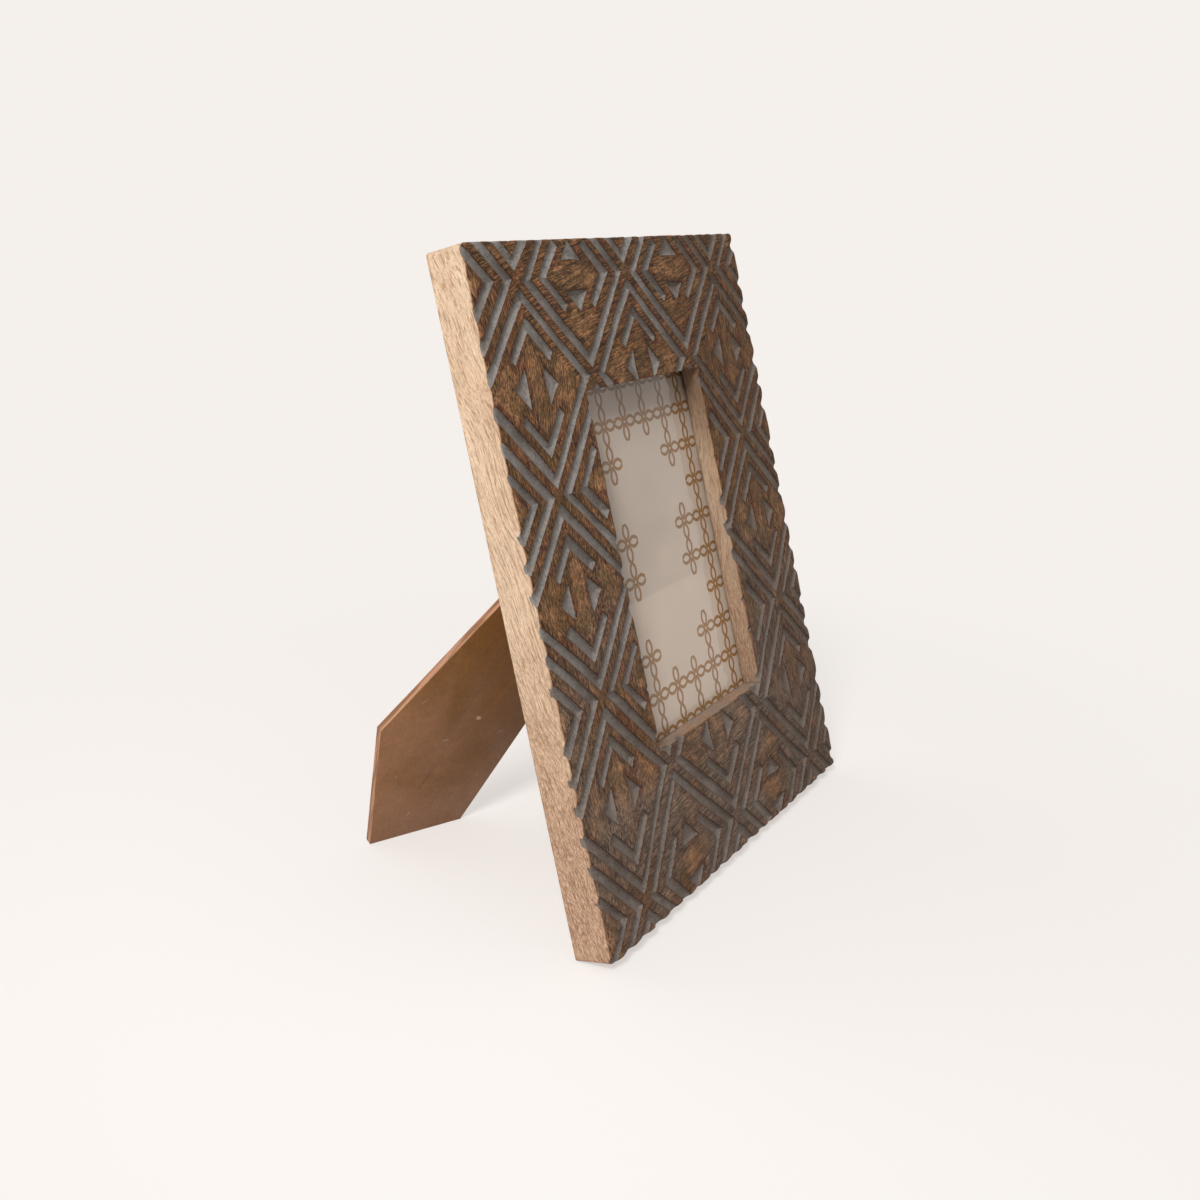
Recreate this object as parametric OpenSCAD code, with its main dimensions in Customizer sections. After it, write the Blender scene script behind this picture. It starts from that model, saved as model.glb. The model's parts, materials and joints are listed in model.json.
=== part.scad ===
// A carved wooden picture frame that stands leaned back on a hinged strut.
// Millimetres, +Z up. The carved front looks towards -Y, and the strut opens towards +Y.
// The origin is on the surface that the frame stands on, below the middle of the whole.
// Each piece is drawn on the upright frame, whose back lies in the plane y = 0 and whose
// bottom lies in the plane z = 0, and stand() then leans it back.

/* [Frame] */
// Width over the outside
frame_width = 203.2; // [180:0.1:230]
// Height over the outside
frame_height = 254; // [230:0.1:280]
// Thickness from the carved face to the back
frame_thickness = 16.3; // [15.9:0.1:20]
// Width of the window in the front
window_width = 88.9; // [80:0.1:98]
// Height of the window in the front
window_height = 139.7; // [130:0.1:149]
// Thickness of the wood in front of the glass
lip_thickness = 8.6; // [8:0.1:9.2]
// Lean of the standing frame, back from upright, in degrees
lean = 14.2; // [8:0.1:20]

/* [Carving] */
// Distance between the crossings of the carved ridges, and so the diagonal of one diamond
cell = 75.6; // [60:0.1:90]
// How far the middle of the pattern lies below the middle of the frame
pattern_drop = 1.1; // [0:0.1:5]
// Distance between the middles of neighbouring grooves
groove_pitch = 7.6; // [6:0.1:8]
// Width of a groove
groove_width = 3.6; // [2:0.1:4.5]
// Depth of a groove
groove_depth = 2; // [1:0.1:3]
// Reach of a chevron's arms to each side of its tip
chevron_reach = 12.3; // [8:0.1:14]
// Distance from the middle of a diamond to the straight edges of its two triangles
triangle_edge = 5.8; // [4:0.1:7]
// Length of a triangle from its straight edge to its tip
triangle_length = 7; // [4:0.1:7.5]
// Half of the straight edge of a triangle
triangle_half = 6; // [4:0.1:7]

/* [Picture] */
// Width of the print, the glass and the back panel
print_width = 101.6; // [100:0.1:110]
// Height of the print, the glass and the back panel
print_height = 152.4; // [151:0.1:160]
// Clearance round the print in its recess
print_clearance = 0.8; // [0.3:0.1:2]
// Thickness of the glass
glass_thickness = 2; // [1.5:0.1:2.5]
// Thickness of the picture card
card_thickness = 0.4; // [0.2:0.1:0.6]
// Thickness of the back panel
panel_thickness = 3.2; // [2.5:0.1:4]
// How far the back panel lies below the back of the frame
panel_sink = 0.1; // [0.05:0.05:0.25]

/* [Corner nails] */
// Distance of the outer nails from the frame's corner, along the mitre
nail_first = 17; // [12:0.5:22]
// Distance between the two nails of a corner, along the mitre
nail_spacing = 28; // [18:0.5:36]
// Reach of each arm of a nail
nail_arm = 4.5; // [3:0.1:6]
// Thickness of a nail's steel
nail_gauge = 0.6; // [0.4:0.1:1]
// Depth of a nail in the wood
nail_depth = 7; // [5:0.1:9]
// Clearance of a nail in its slot
nail_clearance = 0.03; // [0.01:0.01:0.1]

/* [Turn buttons] */
// Width of a turn button
button_width = 9; // [7:0.1:12]
// Thickness of a turn button
button_gauge = 1; // [0.8:0.1:1.5]
// Length from the screw to the tip over the panel
button_nose = 13.5; // [11.5:0.1:16]
// Length from the screw to the other end
button_tail = 7; // [5:0.1:12]
// Distance from the recess to the screws
button_setback = 7; // [6:0.1:9]
// Gap under a turn button
button_gap = 0.1; // [0.05:0.05:0.2]
// Place of the top turn button, to the right of the frame's middle
top_button_at = 0; // [-25:1:35]
// Place of the bottom turn button, to the right of the frame's middle
bottom_button_at = 18; // [8:1:35]
// Place of the left turn button, above the frame's middle
left_button_at = 38; // [30:1:55]
// Place of the right turn button, above the frame's middle
right_button_at = 0; // [-50:1:10]
// Diameter of a screw's shank
screw_diameter = 2.4; // [2:0.1:3]
// Diameter of a screw's head
screw_head = 5.6; // [4.5:0.1:7]
// Height of a screw's head
screw_head_height = 1.4; // [1:0.1:1.8]
// Width of the slot in a screw's head
screw_slot = 0.9; // [0.6:0.1:1.2]
// Depth of the slot in a screw's head
screw_slot_depth = 0.7; // [0.4:0.1:0.9]
// Length of a screw in the wood
screw_length = 8; // [6:0.1:11]
// Running clearance of a turn button round its screw
screw_clearance = 0.06; // [0.02:0.01:0.1]

/* [Strut] */
// Place of the hinge, to the right of the frame's middle
hinge_right = 14.7; // [8:0.1:20]
// Place of the hinge, above the frame's middle
hinge_above = 21.5; // [15:0.1:30]
// Slope of the hinge pin, down to the right, in degrees
hinge_slope = 40.3; // [35:0.1:50]
// Thickness of the strut board
strut_thickness = 3.6; // [2:0.1:4]
// Width of the strut board at its hinge end
strut_hinge_end = 36.1; // [32:0.1:45]
// Length of the foot edge that the frame stands on now
foot_upright = 43.1; // [30:0.1:60]
// Length of the foot edge that serves when the frame stands on its side
foot_sideways = 57.1; // [40:0.1:70]
// Distance of the folded strut's foot corner from the frame's side
foot_inset = 0.6; // [0:0.1:3]
// Distance of the strut board's end from the hinge pin
strut_gap = 2.6; // [2:0.1:4]

/* [Hinge] */
// Length of the hinge
hinge_length = 33; // [28:0.1:35]
// Gauge of the hinge's leaves
leaf_gauge = 0.8; // [0.6:0.1:1]
// Reach of the fixed leaf from the pin
base_leaf_reach = 13; // [11:0.1:16]
// Reach of the moving leaf from the pin
flap_leaf_reach = 15; // [12:0.1:18]
// Outer diameter of the rolled knuckles
knuckle_diameter = 3; // [2.8:0.1:3.6]
// Gap between the fixed knuckle and the back panel
knuckle_lift = 0.1; // [0.05:0.05:0.2]
// Diameter of the pin
pin_diameter = 1.6; // [1.2:0.1:1.8]
// Running clearance of the knuckles round the pin
pin_clearance = 0.05; // [0.02:0.01:0.1]
// Length of each of the moving leaf's two outer knuckles
outer_knuckle = 8; // [6:0.1:10]
// Gap between neighbouring knuckles
knuckle_gap = 0.3; // [0.2:0.1:0.5]
// Gap between the open strut's stop ears and the fixed leaf
stop_gap = 0.05; // [0.02:0.01:0.2]

/* [Rivets] */
// Number of rivets in each leaf
rivet_count = 3; // [2:1:4]
// Diameter of a rivet's shank
rivet_diameter = 2.2; // [1.6:0.1:2.6]
// Diameter of a rivet's head
rivet_head = 4.6; // [3.5:0.1:5]
// Height of a rivet's head
rivet_head_height = 0.6; // [0.4:0.1:0.8]
// Distance of the outer rivets from the ends of the hinge
rivet_margin = 5; // [4:0.1:7]
// Distance of the rivets from the edge of their leaf
rivet_setback = 4.5; // [3.5:0.1:6]

/* [Hidden] */
$fn = 48;

// The colours of the photograph
CARVED_WOOD = [0.40, 0.28, 0.20];
STEEL = [0.70, 0.70, 0.70];
BRASS = [0.76, 0.62, 0.34];
HARDBOARD = [0.45, 0.31, 0.20];
GLASS = [0.85, 0.92, 0.92, 0.3];
CARD = [0.78, 0.73, 0.67];
PAD = [0.72, 0.60, 0.45];

// A cutter reaches this far past the faces that it cuts
cut = 1;
border_side = (frame_width - window_width) / 2;
border_end = (frame_height - window_height) / 2;
mitre = [border_side, border_end] / norm([border_side, border_end]);
frame_middle = frame_height / 2;
front = -frame_thickness;

// Recess behind the lip, and what lies in it from front to back
recess_width = print_width + 2 * print_clearance;
recess_height = print_height + 2 * print_clearance;
glass_front = front + lip_thickness;
card_front = glass_front + glass_thickness;
pad_front = card_front + card_thickness;
panel_front = -panel_sink - panel_thickness;
pad_thickness = panel_front - pad_front;

// Half the diagonal of a diamond, and the L1 radii of the middles of its two grooves
cell_half = cell / 2;
ring_radius = cell_half - groove_pitch / 2 * sqrt(2);
chevron_radius = cell_half - groove_pitch * 3 / 2 * sqrt(2);
groove_half = groove_width / 2 * sqrt(2);
columns = floor(frame_width / cell + 1);
rows = floor(frame_height / cell + 1);

// The fixed leaf lies on the back panel, and the strut board on the moving leaf. Both leaves'
// outer faces are this far from the pin's axis, and their inner faces a leaf's gauge less.
leaf_outer = knuckle_diameter / 2 + knuckle_lift;
leaf_inner = leaf_outer - leaf_gauge;
pin_height = frame_middle + hinge_above;
pin_back = leaf_outer - panel_sink;

// Opened this far, the strut's foot edge lies level on the ground that the leaned frame stands on
opening = 2 * atan(tan(lean) / cos(hinge_slope));

// The moving leaf's ears reach past the pin, and meet the fixed leaf at that opening
ear_reach = (leaf_inner * (1 + cos(opening)) - stop_gap) / sin(opening);
leaf_notch = sqrt(pow(knuckle_diameter / 2, 2) - pow(leaf_inner, 2)) + knuckle_gap;
leaf_root = knuckle_diameter / 4;
inner_knuckle = hinge_length - 2 * outer_knuckle - 2 * knuckle_gap;
outer_knuckle_at = (hinge_length - outer_knuckle) / 2;
base_rivets_at = base_leaf_reach - rivet_setback;
flap_rivets_at = -flap_leaf_reach + rivet_setback;

// The folded strut's foot corner, level with the frame's bottom where the open strut lands
foot_corner = [-frame_width / 2 + foot_inset, tan(lean) * (pin_back - leaf_outer)];

// A point of the folded strut: across the hinge, and down from the pin
function from_pin(across, down) = [
    hinge_right + across * cos(hinge_slope) - down * sin(hinge_slope),
    pin_height - across * sin(hinge_slope) - down * cos(hinge_slope)
];
strut_outline = [
    from_pin(-strut_hinge_end / 2, strut_gap),
    foot_corner + [0, foot_sideways],
    foot_corner,
    foot_corner + [foot_upright, 0],
    from_pin(strut_hinge_end / 2, strut_gap)
];

// Depth of the standing frame, from its lowest front edge to the open foot's rear corner,
// so that the origin lies below the middle
corner_across = (foot_corner[0] - hinge_right) * cos(hinge_slope)
    - (foot_corner[1] - pin_height) * sin(hinge_slope);
corner_down = -(foot_corner[0] - hinge_right) * sin(hinge_slope)
    - (foot_corner[1] - pin_height) * cos(hinge_slope);
board_back = leaf_outer + strut_thickness;
open_down = corner_down * cos(opening) - board_back * sin(opening);
open_back = pin_back + corner_down * sin(opening) + board_back * cos(opening);
open_height = pin_height - corner_across * sin(hinge_slope) - open_down * cos(hinge_slope);
rearmost = open_back * cos(lean) + open_height * sin(lean);
foremost = front * cos(lean);
middle = (rearmost + foremost) / 2;

// Leans the upright frame back on its rear bottom edge, and centres it over the origin
module stand() {
    translate([0, -middle, 0]) rotate([-lean, 0, 0]) children();
}

// A flat piece from the front y to the back y, whose outline is drawn as seen from the front
module slab(from_y, to_y) {
    translate([0, to_y, 0]) rotate([90, 0, 0]) linear_extrude(to_y - from_y) children();
}

// A flat rectangular piece, centred on the frame's middle
module sheet(width, height, from_y, to_y) {
    slab(from_y, to_y) translate([-width / 2, frame_middle - height / 2]) square([width, height]);
}

// A round piece along Y
module disc(diameter, from_y, to_y) {
    translate([0, to_y, 0]) rotate([90, 0, 0]) cylinder(d = diameter, h = to_y - from_y);
}

module diamond(radius) {
    polygon([[radius, 0], [0, radius], [-radius, 0], [0, -radius]]);
}

// A chevron with its tip up, and arms cut off square
module chevron(radius) {
    end = chevron_reach;
    square_off = groove_half / 2;
    polygon([
        [0, radius + groove_half],
        [end + square_off, radius - end + square_off],
        [end - square_off, radius - end - square_off],
        [0, radius - groove_half],
        [-end + square_off, radius - end - square_off],
        [-end - square_off, radius - end + square_off]
    ]);
}

module triangle() {
    polygon([
        [triangle_edge, triangle_half],
        [triangle_edge + triangle_length, 0],
        [triangle_edge, -triangle_half]
    ]);
}

// The grooves of one diamond: a ring, a chevron at the top and the bottom, and two triangles
module diamond_grooves() {
    difference() {
        diamond(ring_radius + groove_half);
        diamond(ring_radius - groove_half);
    }
    for (turn = [0, 180]) rotate(turn) {
        chevron(chevron_radius);
        triangle();
    }
}

// The grooves of the diamonds in the given columns and rows. Every second place of the grid has
// a diamond, and the diamonds of odd rows lie on their sides.
module carving(first_column, last_column, first_row, last_row) {
    slab(front - cut, front + groove_depth)
        for (column = [first_column : last_column], row = [first_row : last_row])
            if ((column + row) % 2 == 0)
                translate([column * cell_half, frame_middle - pattern_drop + row * cell_half])
                    rotate(row % 2 == 0 ? 0 : 90) diamond_grooves();
}

// A nail's outline: a bent strip whose arms lie to both sides of the mitre
module nail_outline(grow) {
    reach = nail_arm + grow;
    half = nail_gauge / 2 + grow;
    union() {
        translate([-reach, -half]) square([reach + half, 2 * half]);
        translate([-half, -reach]) square([2 * half, reach + half]);
    }
}

// The nails of all four corners, or their slots
module nails(grow, to_y) {
    for (side = [0, 1], end = [0, 1], place = [nail_first, nail_first + nail_spacing])
        translate([0, 0, frame_middle]) mirror([side, 0, 0]) mirror([0, 0, end])
            slab(-nail_depth - grow, to_y)
                translate([frame_width, frame_height] / 2 - place * mitre) nail_outline(grow);
}

// Places a screw and its turn button, whose nose is drawn pointing down and turns to the panel
module at_button(name) {
    side_x = recess_width / 2 + button_setback;
    end_z = recess_height / 2 + button_setback;
    place = name == "top" ? [top_button_at, end_z, 0]
        : name == "bottom" ? [bottom_button_at, -end_z, 180]
        : name == "left" ? [-side_x, left_button_at, -90]
        : [side_x, right_button_at, 90];
    translate([place[0], 0, frame_middle + place[1]]) rotate([0, place[2], 0]) children();
}

module at_all_buttons() {
    for (name = ["top", "bottom", "left", "right"]) at_button(name) children();
}

// One side of the frame, cut from its outline to the corner mitres
module rail(outline, first_column, last_column, first_row, last_row) {
    stand() difference() {
        slab(front, 0) polygon(outline);
        sheet(recess_width, recess_height, glass_front, cut);
        carving(first_column, last_column, first_row, last_row);
        nails(nail_clearance, cut);
        at_all_buttons() disc(screw_diameter, -screw_length, cut);
    }
}

function corner(side, end) = [side * frame_width / 2, frame_middle + end * frame_height / 2];
function window_corner(side, end) = [side * window_width / 2, frame_middle + end * window_height / 2];

module top_rail() {
    color(CARVED_WOOD)
        rail([corner(-1, 1), corner(1, 1), window_corner(1, 1), window_corner(-1, 1)], -columns, columns, 1, rows);
}

module bottom_rail() {
    color(CARVED_WOOD)
        rail([corner(-1, -1), corner(1, -1), window_corner(1, -1), window_corner(-1, -1)],
            -columns, columns, -rows, -1);
}

module left_stile() {
    color(CARVED_WOOD)
        rail([corner(-1, 1), corner(-1, -1), window_corner(-1, -1), window_corner(-1, 1)],
            -columns, -1, -rows, rows);
}

module right_stile() {
    color(CARVED_WOOD)
        rail([corner(1, 1), corner(1, -1), window_corner(1, -1), window_corner(1, 1)], 1, columns, -rows, rows);
}

module corner_nails() {
    color(STEEL) stand() nails(0, 0);
}

module glass_pane() {
    color(GLASS) stand() sheet(print_width, print_height, glass_front, card_front);
}

module picture_card() {
    color(CARD) stand() sheet(print_width, print_height, card_front, pad_front);
}

module filler_pad() {
    color(PAD) stand() sheet(print_width, print_height, pad_front, panel_front);
}

module back_panel() {
    color(HARDBOARD) stand() difference() {
        sheet(print_width, print_height, panel_front, -panel_sink);
        at_hinge() at_rivets(base_rivets_at) disc(rivet_diameter, -leaf_outer - panel_thickness - cut, 0);
    }
}

// A turn button with round ends, and a hole for its screw
module turn_button(name) {
    bottom = button_gap;
    top = button_gap + button_gauge;
    color(STEEL) stand() at_button(name) difference() {
        union() {
            slab(bottom, top)
                translate([-button_width / 2, -button_nose + button_width / 2])
                    square([button_width, button_nose + button_tail - button_width]);
            for (end = [-button_nose + button_width / 2, button_tail - button_width / 2])
                translate([0, 0, end]) disc(button_width, bottom, top);
        }
        disc(screw_diameter + 2 * screw_clearance, bottom - cut, top + cut);
    }
}

module top_turn_button() {
    turn_button("top");
}

module bottom_turn_button() {
    turn_button("bottom");
}

module left_turn_button() {
    turn_button("left");
}

module right_turn_button() {
    turn_button("right");
}

// Screws whose slotted heads hold the turn buttons down
module button_screws() {
    head_bottom = 2 * button_gap + button_gauge;
    head_top = head_bottom + screw_head_height;
    color(STEEL) stand() at_all_buttons() difference() {
        union() {
            disc(screw_diameter, -screw_length, head_bottom + screw_head_height / 2);
            disc(screw_head, head_bottom, head_top);
        }
        translate([-screw_head, head_top - screw_slot_depth, -screw_slot / 2])
            cube([2 * screw_head, screw_slot_depth + cut, screw_slot]);
    }
}

// Hinge frame: X along the pin, down to the right, Z away from the strut, and Y off the panel
module at_hinge() {
    translate([hinge_right, pin_back, pin_height]) rotate([0, hinge_slope, 0]) children();
}

// Carries what swings with the strut, from its folded place in the hinge frame to the open one
module swung() {
    stand() at_hinge() rotate([opening, 0, 0]) children();
}

// Rivets in a row along the pin, at a height in the hinge frame
module at_rivets(height) {
    row = hinge_length - 2 * rivet_margin;
    for (index = [0 : rivet_count - 1])
        translate([-row / 2 + index * row / (rivet_count - 1), 0, height]) children();
}

// A stretch of knuckle, centred on the pin at a place along it
module knuckle(place, length) {
    translate([place - length / 2, 0, 0]) rotate([0, 90, 0]) cylinder(d = knuckle_diameter, h = length);
}

module pin_bore() {
    translate([-hinge_length, 0, 0]) rotate([0, 90, 0])
        cylinder(d = pin_diameter + 2 * pin_clearance, h = 2 * hinge_length);
}

// A leaf between two places along the pin, from its root by the pin or its ears to its far edge
module leaf(from_x, to_x, from_z, to_z) {
    translate([from_x, leaf_inner, from_z]) cube([to_x - from_x, leaf_gauge, to_z - from_z]);
}

// The fixed leaf lies on the back panel, and its knuckle is the middle one. The leaf is drawn
// like the moving one and turned over, about the pin.
module hinge_base_leaf() {
    color(BRASS) stand() at_hinge() difference() {
        union() {
            rotate([180, 0, 0]) {
                leaf(-hinge_length / 2, hinge_length / 2, -base_leaf_reach, -leaf_notch);
                leaf(-inner_knuckle / 2, inner_knuckle / 2, -leaf_notch - knuckle_gap, -leaf_root);
            }
            knuckle(0, inner_knuckle);
        }
        pin_bore();
        at_rivets(base_rivets_at) disc(rivet_diameter, -leaf_outer - cut, 0);
    }
}

module hinge_pin() {
    color(STEEL) stand() at_hinge() translate([-hinge_length / 2, 0, 0]) rotate([0, 90, 0])
        cylinder(d = pin_diameter, h = hinge_length);
}

// Rivets that hold the fixed leaf on the back panel, flush with the panel's inside
module base_rivets() {
    color(BRASS) stand() at_hinge() at_rivets(base_rivets_at) union() {
        disc(rivet_head, -leaf_inner, -leaf_inner + rivet_head_height);
        disc(rivet_diameter, -leaf_outer - panel_thickness, -leaf_inner + rivet_head_height / 2);
    }
}

// The moving leaf swings with the strut board. It has the two outer knuckles, and its ears over
// them stop the strut when it is open.
module hinge_flap_leaf() {
    color(BRASS) swung() difference() {
        union() {
            leaf(-hinge_length / 2, hinge_length / 2, -flap_leaf_reach, -leaf_notch);
            for (side = [0, 1]) mirror([side, 0, 0]) {
                leaf(hinge_length / 2 - outer_knuckle, hinge_length / 2, -leaf_notch - knuckle_gap, ear_reach);
                knuckle(outer_knuckle_at, outer_knuckle);
            }
        }
        pin_bore();
        at_rivets(flap_rivets_at) disc(rivet_diameter, 0, leaf_outer + cut);
    }
}

// The strut board, drawn folded against the back and carried to its open place
module strut_board() {
    color(HARDBOARD) swung() difference() {
        rotate([0, -hinge_slope, 0]) translate([-hinge_right, 0, -pin_height])
            slab(leaf_outer, board_back) polygon(strut_outline);
        at_rivets(flap_rivets_at) disc(rivet_diameter, 0, board_back + cut);
    }
}

// Rivets that hold the moving leaf on the strut board, with a head on each side
module flap_rivets() {
    color(BRASS) swung() at_rivets(flap_rivets_at) union() {
        disc(rivet_head, leaf_inner - rivet_head_height, leaf_inner);
        disc(rivet_diameter, leaf_inner - rivet_head_height / 2, board_back + rivet_head_height / 2);
        disc(rivet_head, board_back, board_back + rivet_head_height);
    }
}

top_rail();
bottom_rail();
left_stile();
right_stile();
corner_nails();
glass_pane();
picture_card();
filler_pad();
back_panel();
top_turn_button();
bottom_turn_button();
left_turn_button();
right_turn_button();
button_screws();
hinge_base_leaf();
hinge_pin();
base_rivets();
hinge_flap_leaf();
strut_board();
flap_rivets();
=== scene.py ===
import json
import math
from contextlib import contextmanager
from types import SimpleNamespace

import bmesh
import bpy
import numpy as np
from mathutils import Matrix, Vector


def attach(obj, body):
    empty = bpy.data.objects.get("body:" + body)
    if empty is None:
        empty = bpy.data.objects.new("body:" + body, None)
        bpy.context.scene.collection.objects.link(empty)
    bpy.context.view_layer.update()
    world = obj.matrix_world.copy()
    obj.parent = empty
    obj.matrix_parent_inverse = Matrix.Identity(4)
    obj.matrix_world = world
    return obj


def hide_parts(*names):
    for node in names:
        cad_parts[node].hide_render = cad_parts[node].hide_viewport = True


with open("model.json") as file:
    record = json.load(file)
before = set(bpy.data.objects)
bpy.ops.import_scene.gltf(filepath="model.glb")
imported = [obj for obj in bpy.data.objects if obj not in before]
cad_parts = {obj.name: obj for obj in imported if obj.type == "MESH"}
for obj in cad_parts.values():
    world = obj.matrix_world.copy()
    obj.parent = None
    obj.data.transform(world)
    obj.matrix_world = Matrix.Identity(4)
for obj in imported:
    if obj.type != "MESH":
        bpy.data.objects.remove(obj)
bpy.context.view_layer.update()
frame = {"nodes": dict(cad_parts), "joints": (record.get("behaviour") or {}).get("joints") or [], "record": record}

bl_info = {
    "name": "Carved picture frame",
    "version": (1, 0, 0),
    "blender": (4, 5, 0),
    "location": "3D View > Sidebar > Picture frame",
    "description": "Builds a carved wooden picture frame with its glass, card, back and strut",
    "category": "Object",
}

MM = 0.001
PANEL_TAB = "Picture frame"

# The frame's bottom face tells how far it leans, and the strut's joint where its hinge is
FOOT = frame["record"]["mounts"][0]
LEAN = math.atan2(-FOOT["axis"][1], -FOOT["axis"][2])
JOINTS = {joint["name"]: joint for joint in frame["joints"]}

# The camera at the photograph's viewing angle: metres, degrees, millimetres, and shares of the picture
CAMERA_PLACE = (-0.449395, -0.275181, 0.260625)
CAMERA_TURN = (78.0388, 0, -56.1059)
CAMERA_LENS = 38.785
CAMERA_SHIFT = (0.04306, -0.0968)

# The sides of the frame that carry a turn button, each with the button's turn about the frame's normal
SIDES = {"top": 0, "bottom": 180, "left": -90, "right": 90}

# What a face off the carving keeps as its distances from the groove mouths and from the front's rim
OFF_GROOVES = -3
OFF_RIM = -9

# Distances in millimetres by which the carver's crossings stray from an even lattice:
# column and row in half diamonds from the middle, then to the right and up
STRAYS = (
    (-2, 3, 1.7, 0.7), (0, 3, 0.4, 0.9), (-1, 2, 0.4, 1.3), (1, 2, 0.95, 1.1),
    (-2, 1, 0.0, -2.0), (2, 1, -0.9, 0.2), (-2, -1, 1.2, -0.5), (2, -1, 1.2, -0.25),
    (-1, -2, -2.85, 1.4), (1, -2, 2.0, -1.8), (-2, -3, 2.6, -1.7), (0, -3, 2.9, 1.4),
    (2, 3, 0.0, 0.0), (2, -3, 1.5, 0.0),
)


def paint(red, green, blue):
    """A colour that is named by its screen values, as Blender keeps it."""
    return tuple(
        (value / 255 / 12.92 if value <= 10 else ((value / 255 + 0.055) / 1.055) ** 2.4)
        for value in (red, green, blue)
    )


def length(name, description, default):
    return bpy.props.FloatProperty(
        name=name, description=description, default=default * MM, unit="LENGTH", precision=4
    )


def colour(name, description, red, green, blue):
    return bpy.props.FloatVectorProperty(
        name=name, description=description, default=paint(red, green, blue),
        subtype="COLOR", size=3, min=0, max=1,
    )


class FrameSizes(bpy.types.PropertyGroup):
    """Sizes of the wooden frame"""

    width: length("Width", "Width over the outside", 203.2)
    height: length("Height", "Height over the outside", 254)
    thickness: length("Thickness", "Thickness from the carved face to the back", 16.3)
    window_width: length("Window width", "Width of the window in the front", 88.9)
    window_height: length("Window height", "Height of the window in the front", 139.7)
    lip: length("Lip", "Thickness of the wood in front of the glass", 8.6)
    recess_width: length("Recess width", "Width of the recess behind the lip", 103.2)
    recess_height: length("Recess height", "Height of the recess behind the lip", 154)
    corner_round: length("Corner rounding", "Radius of the four outer corners", 2.0)
    back_round: length("Back rounding", "Rounding of the rear arrises", 0.5)
    mitre_gap: length("Mitre gap", "Hairline at each side of a mitre", 0.025)


class CarvingSizes(bpy.types.PropertyGroup):
    """Sizes of the carved pattern"""

    cell: length("Diamond", "Diagonal of one diamond", 75.6)
    drop: length("Pattern drop", "How far the pattern's middle lies below the frame's", 1.1)
    pitch: length("Groove pitch", "Distance between neighbouring grooves", 7.6)
    groove: length("Groove width", "Width of a groove", 3.8)
    depth: length("Groove depth", "Depth of a groove", 1.5)
    wall: length("Groove wall", "Width over which a groove's wall slopes down", 1.2)
    flush: length("Flush mouths", "Depth that the mouths lack near the upper left corner", 1.2)
    reach: length("Chevron reach", "Reach of a chevron's arms to each side of its tip", 12.3)
    triangle_edge: length("Triangle edge", "From a diamond's middle to its triangles", 5.8)
    triangle_length: length("Triangle length", "Length of a triangle", 7.8)
    triangle_half: length("Triangle half", "Half of a triangle's straight edge", 7.2)
    waver: length("Waver", "How far the carver's lines waver", 0.34)
    edge_wear: length("Edge wear", "Wear of the arrises at the outside and the window", 0.7)
    lean_share: bpy.props.FloatProperty(
        name="Leaned gouge", description="How much gentler the lower walls are, and steeper the upper",
        default=0.32, min=0, max=0.8,
    )
    seed: bpy.props.IntProperty(
        name="Seed", description="Number that picks the waver of the lines", default=7, min=0
    )


class Finishes(bpy.types.PropertyGroup):
    """Colours of the finishes"""

    bare_wood: colour("Bare wood", "Sanded sides and back", 213, 187, 159)
    bare_wood_warm: colour("Bare wood, warm", "Redder streaks of the bare wood", 206, 175, 146)
    # Towards the foot the bare wood is partly a redder tone and partly painted shade
    bare_wood_low_shaded: colour("Bare wood, low", "Bare wood towards the frame's foot", 180, 148, 123)
    pores: colour("Pores", "Open pores of the bare wood", 138, 98, 70)
    stain: colour("Brown stain", "Stain on the ridges", 88, 54, 32)
    stain_light: colour("Brown stain, rubbed", "Stain where it is rubbed thin", 140, 101, 68)
    stain_olive: colour("Brown stain, olive", "Yellower patches of the stain", 94, 70, 42)
    rust: colour("Arris", "Reddish brown of the ridges' arrises", 118, 70, 38)
    # Also painted shadow along the grooves' mouths
    dark_stain_and_shadow: colour("Dark stain", "Dark stain in the pores and marks and along the grooves", 52, 33, 23)
    wash: colour("Grey wash", "Wash in the grooves", 101, 94, 88)
    # Also painted light on the gently sloped, lit walls of the grooves
    wash_thick_and_lit: colour("Grey wash, thick", "Wash where it lies thick", 135, 129, 124)
    wash_brown: colour("Grey wash, browned", "Wash towards the lower right", 99, 82, 68)
    # The window's walls: a thin stain together with painted shade
    wall_stain_and_shade: colour("Wall stain", "Thin stain on the walls of the window", 104, 78, 58)
    paper: colour("Card", "Paper of the card", 197, 180, 165)
    print: colour("Print", "Ornament on the card", 142, 98, 46)
    hardboard: colour("Hardboard", "Smooth face of the strut and the back panel", 133, 92, 60)
    # Also painted shade towards the strut's top, under the frame
    hardboard_dark_and_shaded: colour("Hardboard, dark", "Darker and yellower parts of the hardboard", 113, 74, 30)
    hardboard_edge: colour("Hardboard edge", "Sawn edge of the hardboard", 178, 132, 102)
    hardboard_scuff: colour("Hardboard scuff", "Pale scuffs on the hardboard", 186, 160, 138)
    cardboard: colour("Cardboard", "Filler pad behind the card", 176, 146, 108)
    zinc: colour("Zinc", "Turn buttons, screws and hinge pin", 196, 196, 192)
    brass: colour("Brass", "Hinge leaves and rivets", 198, 174, 128)
    steel: colour("Nail steel", "Corner nails", 158, 156, 152)


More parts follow.
